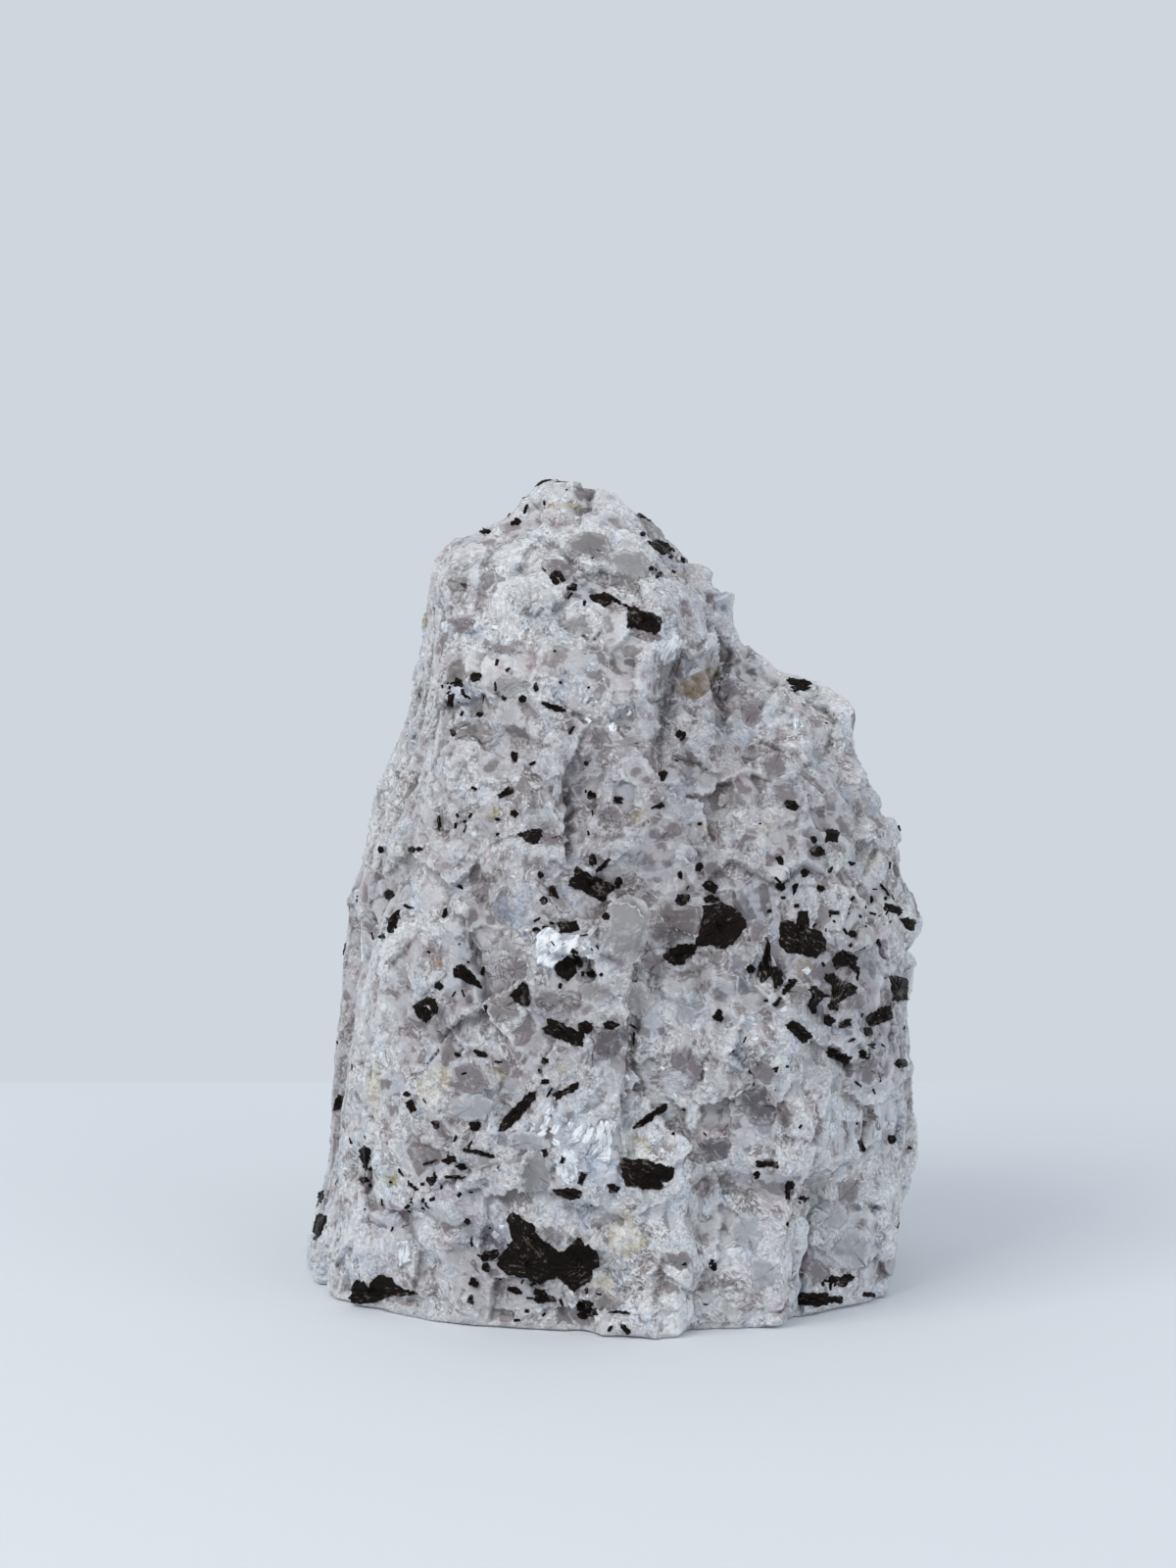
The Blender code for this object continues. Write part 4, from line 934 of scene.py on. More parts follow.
def cleavage_material(settings):
    """Flat cleavage faces of white feldspar, as the crystal split.

    To the eye they are bright bluish white and pearly, with fine straight steps across them.
    """
    material, tree, shader = new_material("cleaved_white_feldspar")
    along = add(tree, "ShaderNodeAttribute", attribute_name="along").outputs["Vector"]
    place = add(tree, "ShaderNodeTexCoord").outputs["Object"]
    stretched = add(tree, "ShaderNodeVectorMath", {0: along, 1: (0.5, 3.4, 1.0)}, operation="MULTIPLY")
    splits = add(
        tree, "ShaderNodeTexNoise", {"Vector": stretched, "Scale": 1.0, "Detail": 4.0, "Roughness": 0.7}
    )
    clouds = add(tree, "ShaderNodeTexNoise", {"Vector": place, "Scale": 1 / (1.6 * MM), "Detail": 5.0})
    both = add(tree, "ShaderNodeMath", {0: splits.outputs[0], 1: clouds.outputs[0]}, operation="MULTIPLY")
    whiter = smooth_step(tree, both, 0.16, 0.3)
    colour = mixed(tree, whiter, linear("#A3A9B3"), tuple(settings.plate))
    height = add(tree, "ShaderNodeMath", {0: splits.outputs[0], 1: 0.16 * MM}, operation="MULTIPLY")
    rough = add(tree, "ShaderNodeMapRange", {"Value": clouds.outputs[0], "To Min": 0.12, "To Max": 0.3})
    set_shader(tree, shader, height, {"Base Color": colour, "Roughness": rough, "IOR": 1.53})
    return material


def quartz_material():
    """Grey quartz in the broken rock, fresh and glassy.

    To the eye the grains are greyish lilac and half see-through, with white veils and a smooth shell-like
    break.
    """
    material, tree, shader = new_material("broken_grey_quartz")
    place = add(tree, "ShaderNodeTexCoord").outputs["Object"]
    tint_node = add(tree, "ShaderNodeAttribute", attribute_name="tint")
    veils = add(
        tree, "ShaderNodeTexNoise",
        {"Vector": place, "Scale": 1 / (1.8 * MM), "Detail": 7.0, "Roughness": 0.7, "Distortion": 0.8},
    )
    towards_rim = smooth_step(tree, tint_node.outputs["Alpha"], 0.5, 1.05)
    pushed = add(
        tree, "ShaderNodeMath", {0: towards_rim, 1: 0.16, 2: veils.outputs[0]}, operation="MULTIPLY_ADD"
    )
    veiled = smooth_step(tree, pushed, 0.5, 0.78)
    veil_amount = add(tree, "ShaderNodeMath", {0: veiled, 1: 0.5}, operation="MULTIPLY")
    bent = ragged_place(tree, place, 1.2, 0.35)
    cells = add(
        tree, "ShaderNodeTexVoronoi", {"Vector": bent, "Scale": 1 / (2.6 * MM)}, feature="DISTANCE_TO_EDGE"
    )
    at_crack = smooth_step(tree, cells.outputs["Distance"], 0.05, 0.01)
    broken_here = smooth_step(tree, veils.outputs[0], 0.42, 0.7)
    crack_amount = add(tree, "ShaderNodeMath", {0: at_crack, 1: broken_here}, operation="MULTIPLY")
    white_amount = add(tree, "ShaderNodeMath", {0: veil_amount, 1: crack_amount}, operation="MAXIMUM")
    colour = mixed(tree, white_amount, tint_node.outputs["Color"], linear("#D6D5D6"))
    clear = add(tree, "ShaderNodeMapRange", {"Value": veiled, "To Min": 0.4, "To Max": 0.05})
    shells = add(
        tree, "ShaderNodeTexNoise",
        {"Vector": place, "Scale": 1 / (1.1 * MM), "Detail": 5.0, "Roughness": 0.62},
    )
    height = add(tree, "ShaderNodeMath", {0: shells.outputs[0], 1: 0.22 * MM}, operation="MULTIPLY")
    finish = {"Base Color": colour, "Transmission Weight": clear, "Roughness": 0.24, "IOR": 1.54}
    set_shader(tree, shader, height, finish)
    return material


# How a crystal is cut: how far it stands out of the rock and goes into it, how flat its top is between the
# rock's own shape (0) and a plane (1), how torn its rim and how rough its top is, how far it swells for its
# reach, and how far it leans out of the rock's surface
Cut = namedtuple("Cut", "rise sink flatness torn rough dome lean")
CLEAVED = Cut(0.06 * MM, 0.8 * MM, 0.9, 0.1 * MM, 0.01 * MM, 0.0, 0.25)
GLASSY_BREAK = Cut(0.1 * MM, 0.7 * MM, 0.5, 0.16 * MM, 0.03 * MM, 0.03, 0.05)

# A flat outline laid against the rock: its middle, the ways across it, up it and out of it, and its points
Patch = namedtuple("Patch", "middle across up out points")

UNIT_FORMS = {
    "prism": [
        (-1, -0.7), (-0.88, -1), (-0.1, -1), (0.82, -0.96), (0.97, -0.6), (0.9, 0.05), (1, 0.62), (0.86, 1),
        (0, 0.96), (-0.9, 1), (-1, 0.55), (-0.93, 0),
    ],
    "blade": [
        (-1, 0.1), (-0.72, -0.7), (-0.1, -1), (0.7, -0.8), (1, -0.1), (0.76, 0.7), (0.1, 1), (-0.66, 0.8),
    ],
    "wedge": [
        (-1, 0.05), (-0.35, -0.55), (0.45, -1), (0.9, -0.8), (1, 0), (0.82, 0.8), (0.3, 1), (-0.4, 0.6),
    ],
}


def form_outline(form, length, width, chance):
    """The outline of one cut crystal or grain, lying along the first axis."""
    if form in UNIT_FORMS:
        corners = UNIT_FORMS[form]
    else:
        count = chance.randint(5, 8)
        turns = [2 * math.pi * (i + chance.uniform(-0.3, 0.3)) / count for i in range(count)]
        corners = [(math.cos(turn), math.sin(turn)) for turn in turns]
    least = 0.72 if form == "grain" else 0.86
    reach = [chance.uniform(least, 1.12) for _ in corners]
    return [(length / 2 * x * r, width / 2 * y * r) for (x, y), r in zip(corners, reach)]


def turned(points, degrees):
    """The points turned so that the right end dips by these degrees."""
    sine, cosine = math.sin(math.radians(-degrees)), math.cos(math.radians(-degrees))
    return [(x * cosine - y * sine, x * sine + y * cosine) for x, y in points]


def front_patch(surface, across, down, points):
    """A patch on the front, from where it is seen. Its points are view units from there, up positive."""
    sight = (EYE_TURN @ Vector((across - VIEW_WIDTH / 2, VIEW_HEIGHT / 2 - down, -FOCAL))).normalized()
    hit = surface.ray_cast(EYE, sight)[0]
    if hit is None:
        hit = surface.find_nearest(EYE + sight * EYE.length)[0]
    unit = (hit - EYE).dot(-EYE_TURN.col[2]) / FOCAL
    right = EYE_TURN.col[0]
    out = -sight
    right = (right - out * right.dot(out)).normalized()
    return Patch(hit, right, out.cross(right), out, [(x * unit, y * unit) for x, y in points])


def patch_at(middle, out, points, turn):
    """A patch at a place on the rock, facing straight out of it. Its points are in metres."""
    across = out.cross(Vector((0, 0, 1)) if abs(out.z) < 0.9 else Vector((1, 0, 0))).normalized()
    return Patch(middle, across, out.cross(across), out, turned(points, turn))


def ragged_bits(form, length, width, chance):
    """A crystal as outlines: one whole, or several bits where the rock has broken it up."""
    if form != "ragged":
        return [form_outline(form, length, width, chance)]
    bits = []
    for _ in range(chance.randint(5, 7)):
        share = chance.uniform(0.36, 0.6)
        bit = form_outline("section", length * share, width * share, chance)
        reach, turn = chance.uniform(0.1, 0.34), chance.uniform(0, 2 * math.pi)
        shift_x, shift_y = math.cos(turn) * reach * length, math.sin(turn) * reach * width
        bits.append([(x + shift_x, y + shift_y) for x, y in bit])
    return bits


def resampled(points, spacing):
    """The outline again, with points no further apart than the spacing."""
    out = []
    for (x0, y0), (x1, y1) in zip(points, points[1:] + points[:1]):
        steps = max(1, math.ceil(math.hypot(x1 - x0, y1 - y0) / spacing))
        out += [(x0 + (x1 - x0) * k / steps, y0 + (y1 - y0) * k / steps) for k in range(steps)]
    return out


def onto(surface, patch, point):
    """Where a patch's point meets the rock, and the way out of it. A point past its edge is drawn in."""
    for share in (1.0, 0.85, 0.7, 0.5, 0.25):
        start = patch.middle + (patch.across * point[0] + patch.up * point[1]) * share + patch.out * LOOK_FROM
        hit, normal, _, _ = surface.ray_cast(start, -patch.out, LOOK_REACH)
        if hit is not None and normal.dot(patch.out) > 0.05:
            return hit, normal
    hit, normal, _, _ = surface.find_nearest(patch.middle)
    return hit, normal


def all_meet(surface, patch):
    """Whether every point of a patch lies on the rock, with none past its edge."""
    for x, y in patch.points:
        start = patch.middle + patch.across * x + patch.up * y + patch.out * LOOK_FROM
        if surface.ray_cast(start, -patch.out, LOOK_REACH)[0] is None:
            return False
    return True


def lay_in(mesh, surface, patch, form, chance, tint=(0, 0, 0)):
    """Adds one crystal that follows the rock under its outline: a broken top, a worn rim and sunken walls."""
    points = patch.points
    middle = (sum(x for x, _ in points) / len(points), sum(y for _, y in points) / len(points))
    reach = max(math.hypot(x - middle[0], y - middle[1]) for x, y in points)
    rim = resampled(points, max(0.24 * MM, reach / 9))
    torn = form.torn * min(1.0, reach / (1.2 * MM))
    rim = [(x + chance.uniform(-1, 1) * torn, y + chance.uniform(-1, 1) * torn) for x, y in rim]
    steps = max(2, math.ceil(reach / (0.55 * MM)))
    shares = [1.0] + [1 - (k + 0.4) / steps for k in range(steps)]
    rings = [
        [(middle[0] + (x - middle[0]) * s, middle[1] + (y - middle[1]) * s) for x, y in rim] for s in shares
    ]
    met = [[onto(surface, patch, point) for point in ring] for ring in rings + [[middle]]]
    out = sum((normal for ring in met for _, normal in ring), Vector()).normalized()
    out = (out + form.lean * Vector([chance.uniform(-1, 1) for _ in range(3)])).normalized()
    centre = sum((hit for hit, _ in met[0]), Vector()) / len(rim)
    axis = max(points, key=lambda p: math.hypot(p[0] - middle[0], p[1] - middle[1]))
    size = math.hypot(axis[0] - middle[0], axis[1] - middle[1])
    way = ((axis[0] - middle[0]) / size, (axis[1] - middle[1]) / size)
    layers = mesh.verts.layers
    along = layers.float_vector.get("along") or layers.float_vector.new("along")
    tints = layers.float_color.get("tint") or layers.float_color.new("tint")
    mark = chance.uniform(0, 40)

    def vertex(hit, point, lift, share):
        height = (hit - centre).dot(out)
        raised = max(0.0, -height * form.flatness) + lift
        place = hit + out * raised
        place.z = max(place.z, 0.0)
        made = mesh.verts.new(place)
        run = (point[0] * way[0] + point[1] * way[1]) / MM
        made[along] = (run, (point[1] * way[0] - point[0] * way[1]) / MM, mark)
        made[tints] = (*tint[:3], share)
        return made

    walls = [vertex(hit, point, -form.sink, 1.0) for (hit, _), point in zip(met[0], rings[0])]
    tops = []
    for level, share in enumerate(shares):
        lift = form.rise * (0.5 if level == 0 else 1) + form.dome * reach * (1 - share**2)
        ring = [
            vertex(hit, point, lift + (form.rough * chance.uniform(-1, 1) if level else 0), share)
            for (hit, _), point in zip(met[level], rings[level])
        ]
        tops.append(ring)
    top_lift = form.rise + form.dome * reach + form.rough * chance.uniform(-1, 1)
    peak = vertex(met[-1][0][0], middle, top_lift, 0.0)
    count = len(rim)
    clockwise = sum(x0 * y1 - x1 * y0 for (x0, y0), (x1, y1) in zip(rim, rim[1:] + rim[:1])) < 0
    flip = clockwise == (patch.across.cross(patch.up).dot(patch.out) > 0)
    for lower, upper in zip([walls] + tops[:-1], tops):
        for i in range(count):
            j = (i + 1) % count
            corners = (lower[i], lower[j], upper[j], upper[i])
            mesh.faces.new(corners[::-1] if flip else corners)
    for i in range(count):
        corners = (tops[-1][i], tops[-1][(i + 1) % count], peak)
        mesh.faces.new(corners[::-1] if flip else corners)
    mesh.faces.new(walls if flip else walls[::-1])


def hidden_places(rock, count, chance, clusters):
    """Places on the sides that the viewer doesn't see, some of them in clusters, with the way out of each."""
    faces = [
        polygon for polygon in rock.data.polygons
        if polygon.normal.dot((EYE - polygon.center).normalized()) < HIDDEN_FACING
        and polygon.center.z > CLEAR_OF_BASE
    ]
    areas = np.cumsum([polygon.area for polygon in faces])
    cores = [faces[int(np.searchsorted(areas, chance.uniform(0, areas[-1])))] for _ in range(clusters)]
    surface = rock_surface(rock)
    places = []
    while len(places) < count:
        if chance.random() < CLUSTERED_SHARE:
            core = chance.choice(cores)
            near = core.center + Vector([chance.gauss(0, CLUSTER_SPREAD) for _ in range(3)])
            hit, normal, _, _ = surface.find_nearest(near)
            if normal.dot((EYE - hit).normalized()) > HIDDEN_FACING or hit.z < CLEAR_OF_BASE:
                continue
        else:
            face = faces[int(np.searchsorted(areas, chance.uniform(0, areas[-1])))]
            hit, normal = face.center.copy(), face.normal.copy()
        places.append((hit, smoothed_normal(surface, hit, normal)))
    return places


def smoothed_normal(surface, hit, normal):
    """The way out of the rock around a place, without the lean of its own grain."""
    around = [Vector((dx, dy, dz)) for dx in (-2, 2) for dy in (-2, 2) for dz in (-2, 2)]
    total = normal.copy()
    for step in around:
        total += surface.find_nearest(hit + step * MM)[1]
    return total.normalized()


def rock_surface(rock):
    return BVHTree.FromPolygons(
        [vertex.co for vertex in rock.data.vertices], [polygon.vertices for polygon in rock.data.polygons]
    )


def depth_inside(flat, outline):
    """How far each flat point lies inside an outline, and below 0 how far outside it."""
    gap = np.full(len(flat), np.inf)
    inside = np.zeros(len(flat), bool)
    corners = np.array(outline)
    for start, end in zip(corners, np.roll(corners, -1, 0)):
        run = end - start
        share = np.clip((flat - start) @ run / (run @ run), 0, 1)
        gap = np.minimum(gap, np.linalg.norm(flat - start - share[:, None] * run, axis=1))
        spans = (start[1] > flat[:, 1]) != (end[1] > flat[:, 1])
        rise = run[1] if abs(run[1]) > 1e-12 else 1e-12
        inside ^= spans & (flat[:, 0] < start[0] + (flat[:, 1] - start[1]) / rise * run[0])
    return np.where(inside, gap, -gap)


def paint_grains(rock, painted):
    """Writes the named grains into the rock's mesh: how deep in a grain each vertex is, and its colour."""
    count = len(rock.data.vertices)
    places = vertex_values(rock.data, "co")
    normals = vertex_values(rock.data, "normal")
    blur = NAMED_EDGE_BLUR * MM
    depth = np.full(count, -blur)
    tint = np.tile(np.array([0.6, 0.6, 0.6, 0.0]), (count, 1))
    lift = np.zeros(count)
    for patch, kind, rise in painted:
        reach = max(math.hypot(x, y) for x, y in patch.points) + blur
        offset = places - np.array(patch.middle)
        near = np.nonzero((offset**2).sum(1) < (reach * 1.8) ** 2)[0]
        outward = normals[near] @ np.array(patch.out)
        near = near[outward > 0.05]
        if not len(near):
            continue
        flat = np.stack([offset[near] @ np.array(patch.across), offset[near] @ np.array(patch.up)], 1)
        here = depth_inside(flat, patch.points)
        wins = (here > depth[near]) | (here > 0)
        depth[near[wins]] = here[wins]
        tint[near[wins]] = (*linear(GRAIN_COLOURS[kind])[:3], float(kind in GLASSY))
        lift[near] = np.maximum(lift[near], rise * np.clip(here / blur, 0, 1) ** 0.5)
    attribute = rock.data.attributes.new("named_depth", "FLOAT", "POINT")
    attribute.data.foreach_set("value", np.clip(depth / blur, -1, 1) * 0.5 + 0.5)
    colours = rock.data.attributes.new("named_tint", "FLOAT_COLOR", "POINT")
    colours.data.foreach_set("color", tint.ravel())
    places += normals * lift[:, None]
    rock.data.vertices.foreach_set("co", places.ravel())
    rock.data.update()


def finish_piece(obj, material, smooth=True):
    obj.data.materials.clear()
    obj.data.materials.append(material)
    for polygon in obj.data.polygons:
        polygon.use_smooth = smooth
    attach(obj, "root")


class RockOperator(bpy.types.Operator):
    """Break the block's surface grain by grain and colour its grains"""

    bl_idname = "rock.block"
    bl_label = "Broken Rock"

    def execute(self, context):
        settings = context.scene.rock_settings
        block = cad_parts["stone"].data.copy()
        merged = bmesh.new()
        merged.from_mesh(block)
        bmesh.ops.remove_doubles(merged, verts=merged.verts, dist=0.001 * MM)
        merged.to_mesh(block)
        merged.free()
        rock = new_object("rock", block)
        remesh = rock.modifiers.new("even_faces", "REMESH")
        remesh.mode = "VOXEL"
        remesh.voxel_size = settings.face_size
        rock.data = evaluated_mesh(rock)
        sizes = {
            "Grain Size": settings.grain_size,
            "Grain Relief": settings.grain_relief,
            "Crumb Size": settings.crumb_size,
            "Crumb Relief": settings.crumb_relief,
            "Splinter Relief": settings.splinter_relief,
        }
        rock.data = finished_by(rock, broken_rock_tree(), sizes)
        rock.data.calc_loop_triangles()
        thin = rock.modifiers.new("fewer_faces", "DECIMATE")
        thin.ratio = min(1.0, settings.triangles / len(rock.data.loop_triangles))
        rock.data = evaluated_mesh(rock)
        rock.data.name = "rock"
        step_surface(rock)
        paint_grains(rock, grain_patches(rock))
        speck_cores = hidden_places(rock, 26, random.Random(17), 5)
        mark_areas(rock, "speck_share", SPECK_AREAS, speck_cores, 3.5 * MM, 0.8)
        smoky_cores = hidden_places(rock, 14, random.Random(19), 14)
        mark_areas(rock, "smoky", SMOKY_AREAS, smoky_cores, 9 * MM, 0.8)
        rock.data = finished_by(rock, hollows_tree(), {})
        finish_piece(rock, pegmatite_material(settings), smooth=False)
        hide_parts("stone")
        return {"FINISHED"}


def grain_patches(rock):
    """Every grain large enough to tell apart: its patch, its kind and how far it rises."""
    chance = random.Random(5)
    surface = rock_surface(rock)
    patches = []
    for kind, rows in FRONT_GRAINS.items():
        for across, down, length, width, turn in rows:
            points = turned(form_outline("grain", length, width, chance), turn)
            patches.append((front_patch(surface, across, down, points), kind, 0.0))
    for name, (kind, outline) in OUTLINED_GRAINS.items():
        patches.append((outline_patch(surface, outline), kind, RAISED_GRAINS.get(name, 0.0) * MM))
    kinds = list(FRONT_GRAINS)
    shares = [len(rows) for rows in FRONT_GRAINS.values()]
    for hit, out in hidden_places(rock, 190, chance, 20):
        length, width = chance.uniform(2.4, 6) * MM, chance.uniform(1.8, 4) * MM
        points = form_outline("grain", length, width, chance)
        kind = chance.choices(kinds, shares)[0]
        patches.append((patch_at(hit, out, points, chance.uniform(0, 180)), kind, 0.0))
    return patches


def mark_areas(rock, name, areas, hidden, spread, most):
    """Writes into the rock's mesh how thick something lies that gathers in areas and at hidden places."""
    places = vertex_values(rock.data, "co")
    normals = vertex_values(rock.data, "normal")
    flat = seen_at(places)
    share = np.zeros(len(places))
    for across, down, reach, here in areas:
        gap = np.hypot(flat[:, 0] - across, flat[:, 1] - down)
        share = np.maximum(share, here * np.exp(-((gap / reach) ** 2)))
    towards_eye = np.array(EYE) - places
    facing = (towards_eye * normals).sum(1) / np.linalg.norm(towards_eye, axis=1)
    share *= np.clip(facing * 4 + 0.6, 0, 1)
    for hit, _ in hidden:
        gap = np.linalg.norm(places - np.array(hit), axis=1)
        share = np.maximum(share, most * np.exp(-((gap / spread) ** 2)))
    attribute = rock.data.attributes.new(name, "FLOAT", "POINT")
    attribute.data.foreach_set("value", share)


def seen_at(places):
    """Where places in the object are in the view: across and down in view units."""
    turned_places = (places - np.array(EYE)) @ np.array(EYE_TURN)
    scale = FOCAL / -turned_places[:, 2]
    return np.stack(
        [VIEW_WIDTH / 2 + turned_places[:, 0] * scale, VIEW_HEIGHT / 2 - turned_places[:, 1] * scale], 1
    )


def vertex_values(mesh, name):
    values = np.empty(len(mesh.vertices) * 3)
    mesh.vertices.foreach_get(name, values)
    return values.reshape(-1, 3)


def beside_line(flat, line):
    """How far each flat point is from a line, and on which side: 1 is left of it as it runs down."""
    gap = np.full(len(flat), np.inf)
    side = np.ones(len(flat))
    for start, end in zip(np.array(line[:-1], float), np.array(line[1:], float)):
        run = end - start
        share = np.clip((flat - start) @ run / (run @ run), 0, 1)
        away = flat - start - share[:, None] * run
        here = np.linalg.norm(away, axis=1)
        nearer = here < gap
        gap[nearer] = here[nearer]
        side[nearer] = np.sign(run[0] * away[nearer, 1] - run[1] * away[nearer, 0])
    return gap, side


def step_surface(rock):
    """Cuts the steps and cracks of the front into the rock."""
    places = vertex_values(rock.data, "co")
    normals = vertex_values(rock.data, "normal")
    flat = seen_at(places)
    towards_eye = np.array(EYE) - places
    distance = np.linalg.norm(towards_eye, axis=1)
    facing = np.clip((towards_eye * normals).sum(1) / distance * 3, 0, 1)
    unit = distance / FOCAL
    wobble = 1.2 * np.sin(flat[:, 1] * 0.31) + 1.6 * np.sin(flat[:, 1] * 0.13 + flat[:, 0] * 0.05)
    flat[:, 0] += wobble
    move = np.zeros(len(places))
    for line, height, reach in STEP_LINES.values():
        gap, side = beside_line(flat, line)
        felt = np.clip(1 - gap * unit / (reach * MM), 0, 1)
        edge = np.clip(gap * unit / (0.25 * MM), 0, 1)
        move += side * felt**1.4 * edge * height / 2 * MM
    for line, depth, width in CRACK_LINES.values():
        gap, _ = beside_line(flat, line)
        move -= np.clip(1 - gap * unit / (width * MM), 0, 1) * depth * MM
    places += normals * (move * facing)[:, None]
    places[:, 2] = np.maximum(places[:, 2], 0.0)
    rock.data.vertices.foreach_set("co", places.ravel())
    rock.data.update()


def outline_patch(surface, outline):
    """A patch on the front from its whole outline in view units."""
    across = sum(x for x, _ in outline) / len(outline)
    down = sum(y for _, y in outline) / len(outline)
    return front_patch(surface, across, down, [(x - across, down - y) for x, y in outline])


class TourmalineOperator(bpy.types.Operator):
    """Lay the larger tourmaline crystals into the rock"""

    bl_idname = "rock.tourmaline"
    bl_label = "Tourmaline Crystals"

    def execute(self, context):
        settings = context.scene.crystal_settings
        rock = bpy.data.objects["rock"]
        surface = rock_surface(rock)
        chance = random.Random(23)
        cut = Cut(settings.rise, settings.sink, 0.5, 0.13 * MM, 0.06 * MM, 0.03, 0.0)
        mesh = bmesh.new()
        for form, rows in FRONT_CRYSTALS.items():
            for across, down, length, width, turn in rows:
                for bit in ragged_bits(form, length, width, chance):
                    patch = front_patch(surface, across, down, turned(bit, turn))
                    lay_in(mesh, surface, patch, cut, chance)
        for outline in OUTLINED_CRYSTALS.values():
            lay_in(mesh, surface, outline_patch(surface, outline), cut, chance)
        forms = ("section", "section", "prism", "blade", "wedge", "ragged")
        for hit, out in hidden_places(rock, 230, chance, 16):
            form = chance.choice(forms)
            length = min(chance.lognormvariate(0.3, 0.55), 4.6) * MM
            width = length * (0.25 if form == "blade" else chance.uniform(0.55, 0.95))
            turn = chance.uniform(0, 360)
            for bit in ragged_bits(form, length, width, chance):
                lay_in(mesh, surface, patch_at(hit, out, bit, turn), cut, chance)
        crystals = laid_piece("tourmaline_crystals", mesh)
        material = shared_material("broken_black_tourmaline", tourmaline_material, settings)
        finish_piece(crystals, material, smooth=False)
        return {"FINISHED"}


def shared_material(name, make, settings):
    """The material of this name, made if it isn't there yet."""
    return bpy.data.materials.get(name) or make(settings)


class CleavageOperator(bpy.types.Operator):
    """Lay the bright flat cleavage faces into the rock"""

    bl_idname = "rock.cleavage"
    bl_label = "Cleavage Faces"

    def execute(self, context):
        settings = context.scene.crystal_settings
        rock = bpy.data.objects["rock"]
        surface = rock_surface(rock)
        chance = random.Random(31)
        mesh = bmesh.new()
        for outline in CLEAVAGE_FACES.values():
            lay_in(mesh, surface, outline_patch(surface, outline), CLEAVED, chance)
        for across, down, length, width, turn in CLEAVAGE_SLATS:
            points = turned(form_outline("prism", length, width, chance), turn)
            lay_in(mesh, surface, front_patch(surface, across, down, points), CLEAVED, chance)
        for hit, out in hidden_places(rock, 26, chance, 6):
            points = form_outline("prism", chance.uniform(1.4, 3.6) * MM, chance.uniform(1, 2.2) * MM, chance)
            patch = patch_at(hit, out, points, chance.uniform(0, 180))
            lay_in(mesh, surface, patch, CLEAVED, chance)
        finish_piece(laid_piece("cleavage_faces", mesh), cleavage_material(settings))
        return {"FINISHED"}


class QuartzOperator(bpy.types.Operator):
    """Lay the larger quartz grains into the rock"""

    bl_idname = "rock.quartz"
    bl_label = "Quartz Grains"

    def execute(self, context):
        rock = bpy.data.objects["rock"]
        surface = rock_surface(rock)
        chance = random.Random(41)
        mesh = bmesh.new()
        for patch, kind, _ in grain_patches(rock):
            facing = smoothed_normal(surface, patch.middle, patch.out).dot(patch.out)
            reach = max(math.hypot(x, y) for x, y in patch.points)
            laid_in = kind in GLASSY and facing > LAID_GRAIN_FACING and reach > LAID_GRAIN_REACH
            if laid_in and all_meet(surface, patch):
                lay_in(mesh, surface, patch, GLASSY_BREAK, chance, linear(GRAIN_COLOURS[kind]))
        finish_piece(laid_piece("quartz_grains", mesh), quartz_material())
        return {"FINISHED"}


def laid_piece(name, mesh):
    """A new object of everything that was laid into one mesh."""
    data = bpy.data.meshes.new(name)
    bmesh.ops.triangulate(mesh, faces=[face for face in mesh.faces if len(face.verts) > 4])
    mesh.to_mesh(data)
    mesh.free()
    return new_object(name, data)


def specks_tree():
    """Strews small six-sided prisms over a surface, as thick as it is marked, each nearly flat in it."""
    tree, given = new_tree("tourmaline_specks", ("Density", "Size"), with_material=True)
    place = add(tree, "GeometryNodeInputPosition").outputs[0]
    gathered = add(tree, "GeometryNodeInputNamedAttribute", {"Name": "speck_share"}, data_type="FLOAT")
    share = add(tree, "ShaderNodeMath", {0: gathered, 1: 0.012}, operation="ADD")
    up = add(tree, "ShaderNodeSeparateXYZ", {0: place}).outputs["Z"]
    clear_of_base = smooth_step(tree, up, 0.8 * MM, 1.4 * MM)
    allowed = add(tree, "ShaderNodeMath", {0: share, 1: clear_of_base}, operation="MULTIPLY")
    density = add(tree, "ShaderNodeMath", {0: allowed, 1: given["Density"]}, operation="MULTIPLY")
    spots = add(
        tree, "GeometryNodeDistributePointsOnFaces", {"Mesh": given["Mesh"], "Density": density, "Seed": 4}
    )
    prism = add(tree, "GeometryNodeMeshCylinder", {"Vertices": 6, "Radius": 0.5, "Depth": 1.6})
    shape = prism.outputs["Mesh"]
    lean = add(
        tree, "FunctionNodeRandomValue", {"Min": (1.3, -0.25, 0.0), "Max": (1.8, 0.25, 6.28), "Seed": 7},
        data_type="FLOAT_VECTOR",
    )
    turned_spot = add(
        tree, "FunctionNodeRotateRotation", {"Rotation": spots.outputs["Rotation"], "Rotate By": lean},
        rotation_space="LOCAL",
    )
    bulk = add(
        tree, "FunctionNodeRandomValue", {"Min": (0.25, 0.25, 0.12), "Max": (0.7, 0.6, 0.85), "Seed": 9},
        data_type="FLOAT_VECTOR",
    )
    scale = add(tree, "ShaderNodeVectorMath", {0: bulk, "Scale": given["Size"]}, operation="SCALE")
    strewn = add(
        tree, "GeometryNodeInstanceOnPoints",
        {"Points": spots.outputs["Points"], "Instance": shape, "Rotation": turned_spot, "Scale": scale},
    )
    real = add(tree, "GeometryNodeRealizeInstances", {"Geometry": strewn})
    dressed = add(tree, "GeometryNodeSetMaterial", {"Geometry": real, "Material": given["Material"]})
    add(tree, "NodeGroupOutput", {"Mesh": dressed})
    return tree


